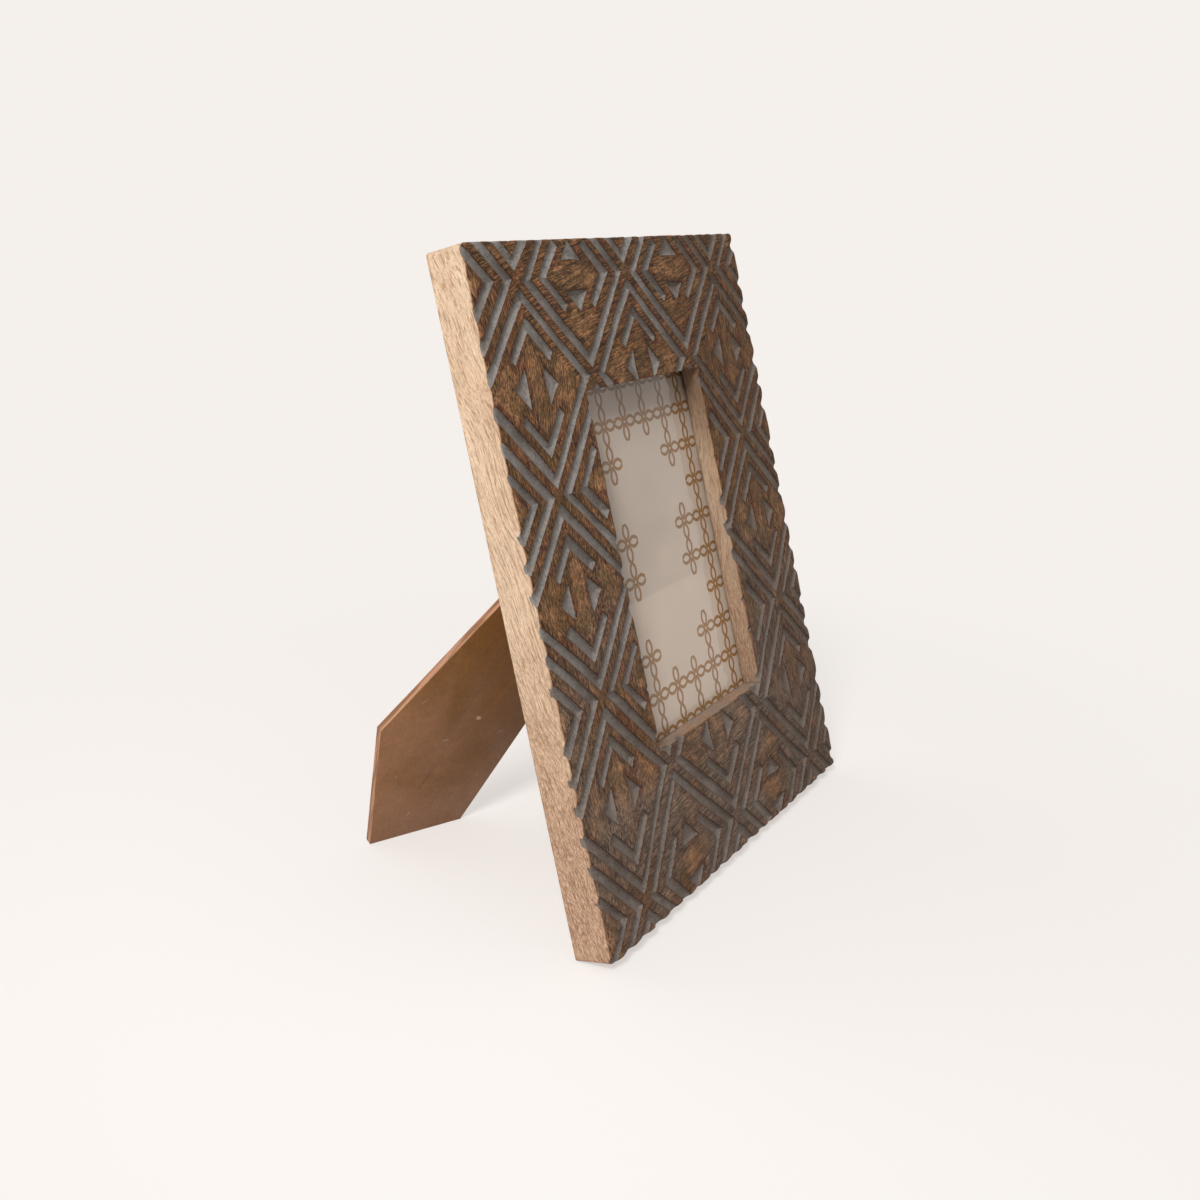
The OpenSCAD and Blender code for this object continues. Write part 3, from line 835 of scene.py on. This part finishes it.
def lattice_lines(low, high):
    """Places of the lines of the rails' fine net along one turned axis, close at the groove walls."""
    cut = carving()
    period = cut.cell / math.sqrt(2)
    half = cut.groove / 2
    offsets = [0.0, 1.0]
    for centre in (cut.pitch / 2, cut.pitch * 1.5):
        for step in (0.55, 0.22, 0.0, -0.13, -0.4, -0.8, -1.2):
            offsets += [centre - half - step, centre + half + step]
        offsets.append(centre)
    offsets += [cut.pitch - 0.7, cut.pitch, cut.pitch + 0.7]
    last = max(offsets)
    offsets += list(np.linspace(last, period / 2, int((period / 2 - last) / 0.53) + 1)[1:])
    offsets = np.unique(np.round(offsets, 4))
    lines = []
    for number in range(math.floor(low / period) - 1, math.ceil(high / period) + 2):
        middle = (number + 0.5) * period
        lines += list(middle + offsets) + list(middle - offsets)
    lines = np.unique(np.round(lines, 3))
    return lines[(lines > low) & (lines < high)]


def strayed(across, up):
    """Moves the even lattice to where the carver's lines run."""
    cut = carving()
    half = cut.cell / 2
    shift_x, shift_z, weight = np.zeros_like(across), np.zeros_like(across), np.full_like(across, 0.12)
    for column, row, right, above in STRAYS:
        near = np.exp(-((across - column * half) ** 2 + (up - row * half) ** 2) / (2 * 26.0 ** 2))
        shift_x += near * right
        shift_z += near * above
        weight += near
    return across + shift_x / weight, up + shift_z / weight


def carved_net(name, low, high):
    """Shapes a grid into the carved face over a rectangle, and keeps how far each point is in a groove."""
    cut = carving()
    root = math.sqrt(0.5)
    corners = [(x, z) for x in (low[0], high[0]) for z in (low[1], high[1])]
    ranges = [[root * (x + sign * z) for x, z in corners] for sign in (1, -1)]
    lines = [lattice_lines(min(values) - 6, max(values) + 6) for values in ranges]
    net = added(
        name, bpy.ops.mesh.primitive_grid_add, size=2, location=(0, 0, 0),
        x_subdivisions=len(lines[0]) - 1, y_subdivisions=len(lines[1]) - 1,
    )
    places = points_of(net.data)
    picked = [np.rint((places[:, axis] + 1) / 2 * (len(lines[axis]) - 1)).astype(int) for axis in (0, 1)]
    first, second = lines[0][picked[0]], lines[1][picked[1]]
    seed = cut.seed * 10

    def wavered(line, across_wave, along_wave, number):
        """A line moved by the hand's long waver and a fine unsteadiness."""
        long = ripple(first / across_wave, second / along_wave, seed + number)
        return line + cut.waver * long + 0.05 * ripple(first / 2.2, second / 2.2, seed + number + 1)

    moved_first, moved_second = wavered(first, 13, 45, 0), wavered(second, 45, 13, 2)
    across, up = strayed(root * (moved_first + moved_second), root * (moved_first - moved_second))
    up = up - cut.drop
    reach = np.clip(groove_reach(first, second), OFF_GROOVES, 2)
    # The gouge is leaned: a groove's lower wall slopes more gently than its upper one
    slopes = groove_reach(first, second - 0.15) - groove_reach(first, second + 0.15)
    slopes += 0.4 * (groove_reach(first + 0.15, second) - groove_reach(first - 0.15, second))
    wall = cut.wall * (1 + cut.lean_share * np.clip(slopes / 0.3, -1, 1))
    deep = cut.depth * (1 + 0.14 * ripple(across / 30, up / 30, seed + 4))
    set_points(net.data, np.stack([across, deep, up], 1))
    for layer, values in (("groove_reach", reach), ("groove_deep", deep), ("groove_wall", wall)):
        net.data.attributes.new(layer, "FLOAT", "POINT")
        set_layer(net.data, layer, values)
    net.data.attributes.new("rim_reach", "FLOAT", "POINT")
    return net


def trim(piece, point, outward, clear=True, fill=False):
    """Cuts a piece along a plane, and clears what lies outside it."""
    with editing(piece):
        bpy.ops.mesh.bisect(
            plane_co=point, plane_no=outward, use_fill=fill, clear_inner=False, clear_outer=clear,
            threshold=1e-4,
        )


def layer_values(mesh, name):
    values = np.empty(len(mesh.vertices))
    mesh.attributes[name].data.foreach_get("value", values)
    return values


def set_layer(mesh, name, values):
    mesh.attributes[name].data.foreach_set("value", np.asarray(values, dtype=np.float32))


class Rail:
    """One side of the frame: its outline, from the outer edge round to the window's edge."""

    def __init__(self, name, side, upright):
        size = sizes()
        wide, tall = size.width / 2, size.height / 2
        window_wide, window_tall = size.window_width / 2, size.window_height / 2
        if upright:
            wide, window_wide = side * wide, side * window_wide
            outline = [(wide, -tall), (wide, tall), (window_wide, window_tall), (window_wide, -window_tall)]
        else:
            tall, window_tall = side * tall, side * window_tall
            outline = [(-wide, tall), (wide, tall), (window_wide, window_tall), (-window_wide, window_tall)]
        self.name = name
        self.outline = np.array(outline, float)
        middle = self.outline.mean(0)
        self.planes = []
        for start, end in zip(self.outline, np.roll(self.outline, -1, 0)):
            along = (end - start) / np.linalg.norm(end - start)
            outward = np.array([along[1], -along[0]])
            if (start - middle) @ outward < 0:
                outward = -outward
            self.planes.append((start, outward))
        self.outer, self.first_mitre, self.window, self.last_mitre = self.planes

    def inside(self, places, plane):
        start, outward = plane
        return -(places[:, (0, 2)] - start) @ outward

    def sheet(self, plane, inset, tilt=0.0, back=0.0):
        """A point and the normal of a plane's cut, moved in by an inset and tilted towards the back."""
        start, outward = plane
        point = start - outward * inset
        lean = outward * math.cos(tilt)
        return (point[0], back, point[1]), (lean[0], math.sin(tilt), lean[1])


def carve_rail(rail):
    """The carved front of one rail, cut to its outline, with worn arrises and groove mouths."""
    size, cut = sizes(), carving()
    net = carved_net(rail.name, rail.outline.min(0), rail.outline.max(0))
    places = points_of(net.data)
    distances = np.stack([rail.inside(places, plane) for plane in rail.planes])
    with editing(net, "DESELECT"):
        points = bmesh.from_edit_mesh(net.data)
        points.verts.ensure_lookup_table()
        for number in np.nonzero(distances.min(0) < -2.5)[0]:
            points.verts[number].select_set(True)
        points.select_flush_mode()
        bmesh.update_edit_mesh(net.data)
        bpy.ops.mesh.delete(type="VERT")
    gap = size.mitre_gap
    for plane, inset in ((rail.outer, 0), (rail.first_mitre, gap), (rail.window, 0), (rail.last_mitre, gap)):
        trim(net, *rail.sheet(plane, inset))
    for plane in (rail.outer, rail.window):
        for inset in (0.14, 0.4, 0.8, 1.3):
            trim(net, *rail.sheet(plane, inset), clear=False)
    places = points_of(net.data)
    outer, window = rail.inside(places, rail.outer), rail.inside(places, rail.window)
    rim = np.clip(np.minimum(outer, window), 0, 8)
    reach = layer_values(net.data, "groove_reach")
    deep = layer_values(net.data, "groove_deep")
    upper_left = np.clip((places[:, 2] - 20) / 80, 0.25, 1) * np.clip((20 - places[:, 0]) / 60, 0, 1)
    deep -= cut.flush * upper_left * np.clip(1 - rim / 9, 0, 1)
    inside = np.clip(reach / layer_values(net.data, "groove_wall"), 0, 1)
    round_mouth = 0.24
    drop = round_mouth * np.clip(1 + reach / 0.55, 0, 1) ** 2
    drop = drop + (deep - round_mouth) * (1 - (1 - inside) ** 1.7)
    drop += 0.06 * np.clip(1 + 0.6 * ripple(places[:, 0] / 17, places[:, 2] / 17, 55), 0, 3)
    wear = cut.edge_wear * (1 + 0.35 * ripple(places[:, 0] / 9, places[:, 2] / 9, 56))
    wear = np.where(window < outer, wear * 0.6, wear)
    rounded = 0.85 * wear * np.clip(1 - rim / np.maximum(wear * 1.3, 0.2), 0, 1) ** 2
    # The groove mouths are worn most where the frame's right and lower outer edges cut them
    right_edge, lower_edge = 90, -115
    far_side = (places[:, 0] > right_edge) | (places[:, 2] < lower_edge)
    ends = np.where((window > outer) & far_side, 0.55, 0.12)
    ends = ends * np.clip(1 - rim / 1.8, 0, 1) ** 2 * np.clip(1 + reach / 1.6, 0, 1) ** 2
    drop += (rounded + ends) * (1 - np.clip(drop / 2.0, 0, 1))
    places[:, 1] = -size.thickness + np.maximum(drop, 0)
    set_points(net.data, places)
    set_layer(net.data, "rim_reach", rim)
    return net


@contextmanager
def editing_border(piece):
    """Opens a piece for editing with the edges of its open border selected."""
    with editing(piece, "DESELECT"):
        bpy.ops.mesh.select_mode(type="EDGE")
        net = bmesh.from_edit_mesh(piece.data)
        for edge in net.edges:
            if edge.is_boundary:
                edge.select_set(True)
        net.select_flush_mode()
        bmesh.update_edit_mesh(piece.data)
        yield


def extend_border(piece, rim, step=0.0, level=None):
    """Extrudes the open border towards the back, by a step or to a level."""
    with editing_border(piece):
        bpy.ops.mesh.extrude_region_move()
        net = bmesh.from_edit_mesh(piece.data)
        reach, rim_reach = (net.verts.layers.float[name] for name in ("groove_reach", "rim_reach"))
        for vertex in net.verts:
            if vertex.select:
                vertex.co.y = vertex.co.y + step if level is None else level
                vertex[rim_reach] = rim
                if rim < -2:
                    vertex[reach] = OFF_GROOVES
        bmesh.update_edit_mesh(piece.data)


def round_corners(piece):
    """Rounds the frame's four outer corners, seen from the front."""
    size = sizes()
    radius = size.corner_round
    places = points_of(piece.data)
    inner = np.array([size.width, size.height]) / 2 - radius
    flat = places[:, (0, 2)]
    over = np.abs(flat) - inner
    near = (over > 0).all(1)
    straight = over[near].max(1)
    slanted = np.hypot(over[near][:, 0], over[near][:, 1])
    pulled = over[near] * (straight / np.maximum(slanted, 1e-9))[:, None]
    flat[near] = np.sign(flat[near]) * (inner + pulled)
    places[:, 0], places[:, 2] = flat[:, 0], flat[:, 1]
    set_points(piece.data, places)


def back_cutter():
    """What is cut into the frame from behind: the recess, the nails' slots and the screws' holes."""
    size = sizes()
    deep = size.thickness - size.lip
    beyond = 2
    hole_radius, hole_depth = 1.2, 8
    cutter = added(
        "back_cutter", bpy.ops.mesh.primitive_cube_add, size=1, location=(0, (beyond - deep) / 2, 0)
    )
    cutter.scale = (size.recess_width, deep + beyond, size.recess_height)
    bpy.ops.object.transform_apply(location=True, rotation=True, scale=True)
    middle = Vector((0, 0, size.height / 2))
    parts = [cutter]
    for side in SIDES:
        place = upright_point(JOINTS[side + "_button_turn"]["pos_m"]) - middle
        parts.append(added(
            "screw_hole", bpy.ops.mesh.primitive_cylinder_add, vertices=32, radius=hole_radius,
            depth=hole_depth + beyond, location=(place.x, (beyond - hole_depth) / 2, place.z),
            rotation=(math.pi / 2, 0, 0),
        ))
    slots = merged_copy("corner_nails", "nail_slots")
    with editing(slots):
        bpy.ops.transform.shrink_fatten(value=0.03, use_even_offset=True)
    places = points_of(slots.data)
    places[:, 1] = np.where(places[:, 1] > -1, 1.0, places[:, 1])
    places[:, 2] -= middle.z
    set_points(slots.data, places)
    joined([*parts, slots])
    tidy_faces(cutter)
    return cutter


def build_rail(rail, cutter, material):
    """Makes one rail: carved front, worn arrises, bare sides, rounded back, and the cuts behind."""
    size = sizes()
    piece = carve_rail(rail)
    rounding = size.back_round
    # Bands of the sides, each with the distance from the front's rim that its points keep
    for rim, step in ((-0.25, 0.25), (-0.7, 0.45), (-1.3, 0.6)):
        extend_border(piece, rim, step=step)
    for rim, level in ((-5, -9.0), (OFF_RIM, -2 * rounding), (OFF_RIM, 0.0)):
        extend_border(piece, rim, level=level)
    with editing_border(piece):
        bpy.ops.mesh.edge_face_add()
    round_corners(piece)
    tidy_faces(piece)
    for tilt in (math.radians(30), math.radians(60)):
        inset = rounding * (1 - math.cos(tilt))
        back = rounding * (math.sin(tilt) - 1)
        trim(piece, *rail.sheet(rail.outer, inset, tilt, back), fill=True)
    uncut = len(piece.data.vertices)
    apply_modifier(piece, "BOOLEAN", object=cutter, operation="DIFFERENCE", solver="EXACT")
    if len(piece.data.vertices) < 0.9 * uncut:
        raise RuntimeError(f"the cuts behind {rail.name} failed")
    places = points_of(piece.data)
    behind = places[:, 1] > -8.5
    for layer, bare in (("rim_reach", OFF_RIM), ("groove_reach", OFF_GROOVES)):
        set_layer(piece.data, layer, np.where(behind, bare, layer_values(piece.data, layer)))
    piece.data.attributes.remove(piece.data.attributes["groove_deep"])
    smooth(piece, 38)
    for edge in piece.data.edges:
        if all(places[number, 1] > -0.01 for number in edge.vertices):
            edge.use_edge_sharp = True
    settle(piece, standing() @ Matrix.Translation((0, 0, size.height / 2)))
    dress(piece, "frame", "carved_wood", [material], rail.name)
    piece.name = "carved_" + rail.name
    return piece


class BuildStage(bpy.types.Operator):
    """Sets the camera, the pale floor and backdrop, and the soft studio light"""

    bl_idname = "picture_frame.stage"
    bl_label = "Stage, light and camera"

    def execute(self, context):
        look = context.scene.frame_stage
        turn = [math.radians(angle) for angle in CAMERA_TURN]
        camera = added("camera", bpy.ops.object.camera_add, location=CAMERA_PLACE, rotation=turn)
        camera.data.lens = CAMERA_LENS
        camera.data.sensor_width = 36
        camera.data.shift_x, camera.data.shift_y = CAMERA_SHIFT
        camera.data.clip_start = 0.01
        camera.data.clip_end = 50
        context.scene.camera = camera
        context.scene.view_settings.view_transform = "Standard"
        self.lay_floor(look)
        self.hang_lamps(look)
        self.light_room(context, look)
        return {"FINISHED"}

    def seen_directly(self, recipe):
        """1 where the camera, a reflection or a look through glass meets the surface."""
        rays = recipe.node("LightPath").outputs
        seen = recipe.math("MAXIMUM", rays["Is Camera Ray"], rays["Is Glossy Ray"])
        return recipe.math("MAXIMUM", seen, rays["Is Transmission Ray"])

    def lay_floor(self, look):
        floor = added(
            "floor", bpy.ops.mesh.primitive_circle_add,
            vertices=96, radius=3, fill_type="NGON", location=(0, 0, 0),
        )
        made = bpy.data.materials.new("pale_floor")
        made.use_nodes = True
        made.node_tree.nodes.clear()
        recipe = Recipe(made.node_tree)
        matt = recipe.node("BsdfDiffuse", {"Color": look.backdrop})
        plain = recipe.node("Emission", {"Color": look.backdrop, "Strength": 1.0})
        away = recipe.node("VectorMath", {0: recipe.node("TexCoord").outputs["Object"]}, operation="LENGTH")
        close = recipe.times(recipe.span(away.outputs["Value"], 0.42, 0.16), 0.4)
        shown = recipe.blended(close, plain, matt)
        mixed = recipe.blended(self.seen_directly(recipe), matt, shown)
        recipe.node("OutputMaterial", {"Surface": mixed.outputs[0]})
        floor.data.materials.append(made)

    def hang_lamps(self, look):
        lamps = (
            ("key_lamp", (-1.05, -0.3, 1.15), 0.5, look.key),
            ("fill_lamp", (0.3, -0.9, 1.3), 1.3, look.key * 0.06),
            ("back_lamp", (-0.1, 1.1, 0.9), 1.3, look.key * 0.18),
        )
        for name, place, size, power in lamps:
            aim = Vector((0, 0, 0.12)) - Vector(place)
            turn = aim.to_track_quat("-Z", "Y").to_euler()
            lamp = added(name, bpy.ops.object.light_add, type="AREA", location=place, rotation=turn)
            lamp.data.shape = "DISK"
            lamp.data.size = size
            lamp.data.energy = power

    def light_room(self, context, look):
        world = bpy.data.worlds.new("pale_room")
        context.scene.world = world
        world.use_nodes = True
        world.node_tree.nodes.clear()
        recipe = Recipe(world.node_tree)
        soft = recipe.node("Background", {"Color": (1, 1, 1), "Strength": look.fill})
        plain = recipe.node("Background", {"Color": look.backdrop, "Strength": 1.0})
        mixed = recipe.blended(self.seen_directly(recipe), soft, plain)
        recipe.node("OutputWorld", {"Surface": mixed.outputs[0]})


class BuildRails(bpy.types.Operator):
    """Carves the four mitred rails of the frame"""

    bl_idname = "picture_frame.rails"
    bl_label = "Carved rails"

    def execute(self, context):
        cutter = back_cutter()
        grains = (
            (Rail("top_rail", 1, False), (310, 12, 40), (0, 102, 0), 0.8),
            (Rail("bottom_rail", -1, False), (-120, 60, 90), (0, 97, 0), 0.8),
            (Rail("left_stile", -1, True), (0, 0, 0), (13, 0, 0), 1.5),
            (Rail("right_stile", 1, True), (75, 33, 180), (-5, 0, 0), 1.0),
        )
        for rail, shift, turn, curl in grains:
            material = carved_wood("carved_wood_" + rail.name, shift, turn, curl)
            build_rail(rail, cutter, material)
        bpy.data.objects.remove(cutter)
        return {"FINISHED"}


class BuildPicture(bpy.types.Operator):
    """Gives the glass, the card and the filler pad their finishes"""

    bl_idname = "picture_frame.picture"
    bl_label = "Glass, card and pad"

    def execute(self, context):
        for node, material in (
            ("glass_pane", clear_glass("clear_glass")),
            ("picture_card", printed_card("printed_card")),
            ("filler_pad", cardboard("grey_cardboard")),
        ):
            mesh = frame["nodes"][node].data
            mesh.materials.clear()
            mesh.materials.append(material)
        return {"FINISHED"}


class BuildNails(bpy.types.Operator):
    """Makes the corner nails that hold the mitres from behind"""

    bl_idname = "picture_frame.nails"
    bl_label = "Corner nails"

    def execute(self, context):
        nails = eased_copy("corner_nails", "driven_corner_nails", 0.06, 1)
        steel = plated_metal("nail_steel", finishes().steel, standing())
        dress(nails, "frame", "nail_steel", [steel], "corner_nails")
        return {"FINISHED"}


class BuildBackPanel(bpy.types.Operator):
    """Makes the hardboard panel that closes the recess"""

    bl_idname = "picture_frame.back_panel"
    bl_label = "Back panel"

    def execute(self, context):
        panel = merged_copy("back_panel", "hardboard_back_panel")
        ease_edges(panel, 0.25)
        part_edges(panel)
        settle(panel, standing())
        smooth(panel)
        # Marks on the board: place across and up, length, width, turn and strength
        scuffs = ((-30, 170, 5, 0.5, 20, 0.5), (26, 78, 7, 0.4, -50, 0.45), (-14, 96, 1.6, 1.1, 10, 0.6))
        stains = ((31, 190, 9, 2.0, 65, 0.2), (-34, 82, 6, 3.0, 20, 0.15))
        face = hardboard_face("panel_face", standing(), scuffs, stains)
        dress(panel, "frame", "hardboard", [face, hardboard_edge("panel_edge", standing())], "back_panel")
        return {"FINISHED"}


class BuildTurnButtons(bpy.types.Operator):
    """Makes the four turn buttons and their round-headed screws"""

    bl_idname = "picture_frame.turn_buttons"
    bl_label = "Turn buttons and screws"

    def execute(self, context):
        zinc = plated_metal("zinc_plate", finishes().zinc, standing())
        screws = []
        for side, turn in SIDES.items():
            button = eased_copy(side + "_turn_button", "zinc_" + side + "_button", 0.22, 3)
            dress(button, side + "_button", "fastener_steel", [zinc], side + "_turn_button")
            place = upright_point(JOINTS[side + "_button_turn"]["pos_m"])
            place.y = 0
            screw = self.screw()
            settle(screw, Matrix.Translation(place) @ Matrix.Rotation(math.radians(turn), 4, "Y"))
            screws.append(screw)
        row = joined(screws)
        row.name = "round_headed_screws"
        settle(row, standing())
        smooth(row, 32)
        dress(row, "frame", "fastener_steel", [zinc], "button_screws")
        return {"FINISHED"}

    def screw(self):
        """A screw along Y with a domed, slotted head."""
        shank, head, seat, brim, crown = 1.15, 2.8, 1.2, 1.5, 1.1
        tip = [(0, -8), (0.35, -7.2), (shank, -5.8)]
        under_head = [(shank, seat), (head - 0.2, seat), (head - 0.06, seat + 0.06)]
        screw = turned_part("screw", tip + under_head + dome(head, brim, crown, 9), 40)
        slot_depth, slot_width, tall = 0.7, 0.9, 2
        middle = brim + crown - slot_depth + tall / 2
        slot = added("slot", bpy.ops.mesh.primitive_cube_add, size=1, location=(0, middle, 0))
        slot.scale = (12, tall, slot_width)
        bpy.ops.object.transform_apply(location=True, rotation=True, scale=True)
        apply_modifier(screw, "BOOLEAN", object=slot, operation="DIFFERENCE", solver="EXACT")
        bpy.data.objects.remove(slot)
        ease_edges(screw, 0.06, 2, 50)
        tidy_faces(screw, 2e-3)
        return screw


class BuildHinge(bpy.types.Operator):
    """Makes the hinge between the back panel and the strut: two leaves, pin and rivets"""

    bl_idname = "picture_frame.hinge"
    bl_label = "Hinge"

    def execute(self, context):
        look = finishes()
        fixed, swung = standing() @ hinge_place(), standing() @ strut_place()
        for node, body, place in (("hinge_base_leaf", "frame", fixed), ("hinge_flap_leaf", "strut", swung)):
            leaf = eased_copy(node, "brass_" + node, 0.12, 2, 50)
            brass = plated_metal(node + "_brass", look.brass, place, (0, 90, 0))
            dress(leaf, body, "hinge_metal", [brass], node)

        half = dome(0.8, 16.2, 0.3, 6)
        pin = turned_part("hinge_pin_turned", self.flipped(half) + half)
        settle(pin, fixed @ Matrix.Rotation(-math.pi / 2, 4, "Z"))
        smooth(pin)
        zinc = plated_metal("pin_zinc", look.zinc, fixed, (0, 90, 0))
        dress(pin, "frame", "fastener_steel", [zinc], "hinge_pin")

        # The rivets run from a leaf's inner face, this far from the pin, through the leaf and its board
        shank, face, panel_grip, board_grip = 1.1, 0.8, 4.0, 4.4
        head = [(2.22, 0), *dome(2.3, 0.12, 0.48, 7)]
        end = -face - panel_grip
        base = [(0, end), (shank - 0.1, end), (shank, end + 0.1), (shank, -face), *self.moved(head, -face)]
        far = face + board_grip
        flap = [*self.moved(self.flipped(head), face), (shank, face), (shank, far), *self.moved(head, far)]
        for name, profile, height, node, body, place in (
            ("base_rivets_domed", base, 8.5, "base_rivets", "frame", fixed),
            ("flap_rivets_domed", flap, -10.5, "flap_rivets", "strut", swung),
        ):
            rivets = []
            for across in (-11.5, 0, 11.5):
                rivet = turned_part(name, profile)
                settle(rivet, Matrix.Translation((across, 0, height)))
                rivets.append(rivet)
            row = joined(rivets)
            settle(row, place)
            smooth(row)
            brass = plated_metal(name + "_brass", look.brass, place)
            dress(row, body, "hinge_metal", [brass], node)
        return {"FINISHED"}

    def moved(self, profile, step):
        return [(radius, along + step) for radius, along in profile]

    def flipped(self, profile):
        """The profile run the other way, with its end turned to the other side."""
        return [(radius, -along) for radius, along in reversed(profile)]


class BuildStrut(bpy.types.Operator):
    """Makes the hardboard strut with its sawn edges"""

    bl_idname = "picture_frame.strut"
    bl_label = "Strut board"

    def execute(self, context):
        place = strut_place()
        board = merged_copy("strut_board", "hardboard_strut")
        settle(board, place.inverted())
        ease_edges(board, 0.25)
        part_edges(board)
        settle(board, standing() @ place)
        smooth(board)
        scuffs = (
            (8.7, -118.5, 1.9, 1.4, 0, 0.8), (2.3, -133.9, 3.4, 0.5, -35, 0.6),
            (24.7, -118.1, 2.6, 0.4, -45, 0.5), (13.6, -169.2, 2.4, 0.4, 70, 0.6),
            (-21.3, -125.2, 2.6, 0.5, -60, 0.35), (-6, -158, 0.8, 0.6, 0, 0.4),
        )
        stains = ((8.0, -150.4, 11, 0.9, 83, 0.4), (0, -125, 6, 4, 20, 0.12), (23, -148, 9, 3, -40, 0.1))
        face = hardboard_face("strut_face", standing() @ place, scuffs, stains)
        edge = hardboard_edge("strut_edge", standing() @ place)
        dress(board, "strut", "hardboard", [face, edge], "strut_board")
        return {"FINISHED"}


GROUPS = {
    "frame_sizes": FrameSizes, "frame_carving": CarvingSizes,
    "frame_finishes": Finishes, "frame_stage": StageLooks,
}
OPERATORS = (
    BuildStage, BuildRails, BuildNails, BuildPicture,
    BuildBackPanel, BuildTurnButtons, BuildHinge, BuildStrut,
)


class PictureFramePanel(bpy.types.Panel):
    """Lists the pieces of the picture frame"""

    bl_idname = "VIEW3D_PT_picture_frame"
    bl_label = "Picture frame"
    bl_space_type = "VIEW_3D"
    bl_region_type = "UI"
    bl_category = PANEL_TAB

    def draw(self, context):
        for operator in OPERATORS:
            self.layout.operator(operator.bl_idname)


CLASSES = (*GROUPS.values(), *OPERATORS, PictureFramePanel)


def register():
    for one in CLASSES:
        bpy.utils.register_class(one)
    for name, group in GROUPS.items():
        setattr(bpy.types.Scene, name, bpy.props.PointerProperty(type=group))


def unregister():
    for name in GROUPS:
        delattr(bpy.types.Scene, name)
    for one in reversed(CLASSES):
        bpy.utils.unregister_class(one)


def main():
    register()
    bpy.ops.picture_frame.stage()
    bpy.ops.picture_frame.rails()
    bpy.ops.picture_frame.nails()
    bpy.ops.picture_frame.picture()
    bpy.ops.picture_frame.back_panel()
    bpy.ops.picture_frame.turn_buttons()
    bpy.ops.picture_frame.hinge()
    bpy.ops.picture_frame.strut()


if __name__ == "__main__":
    main()
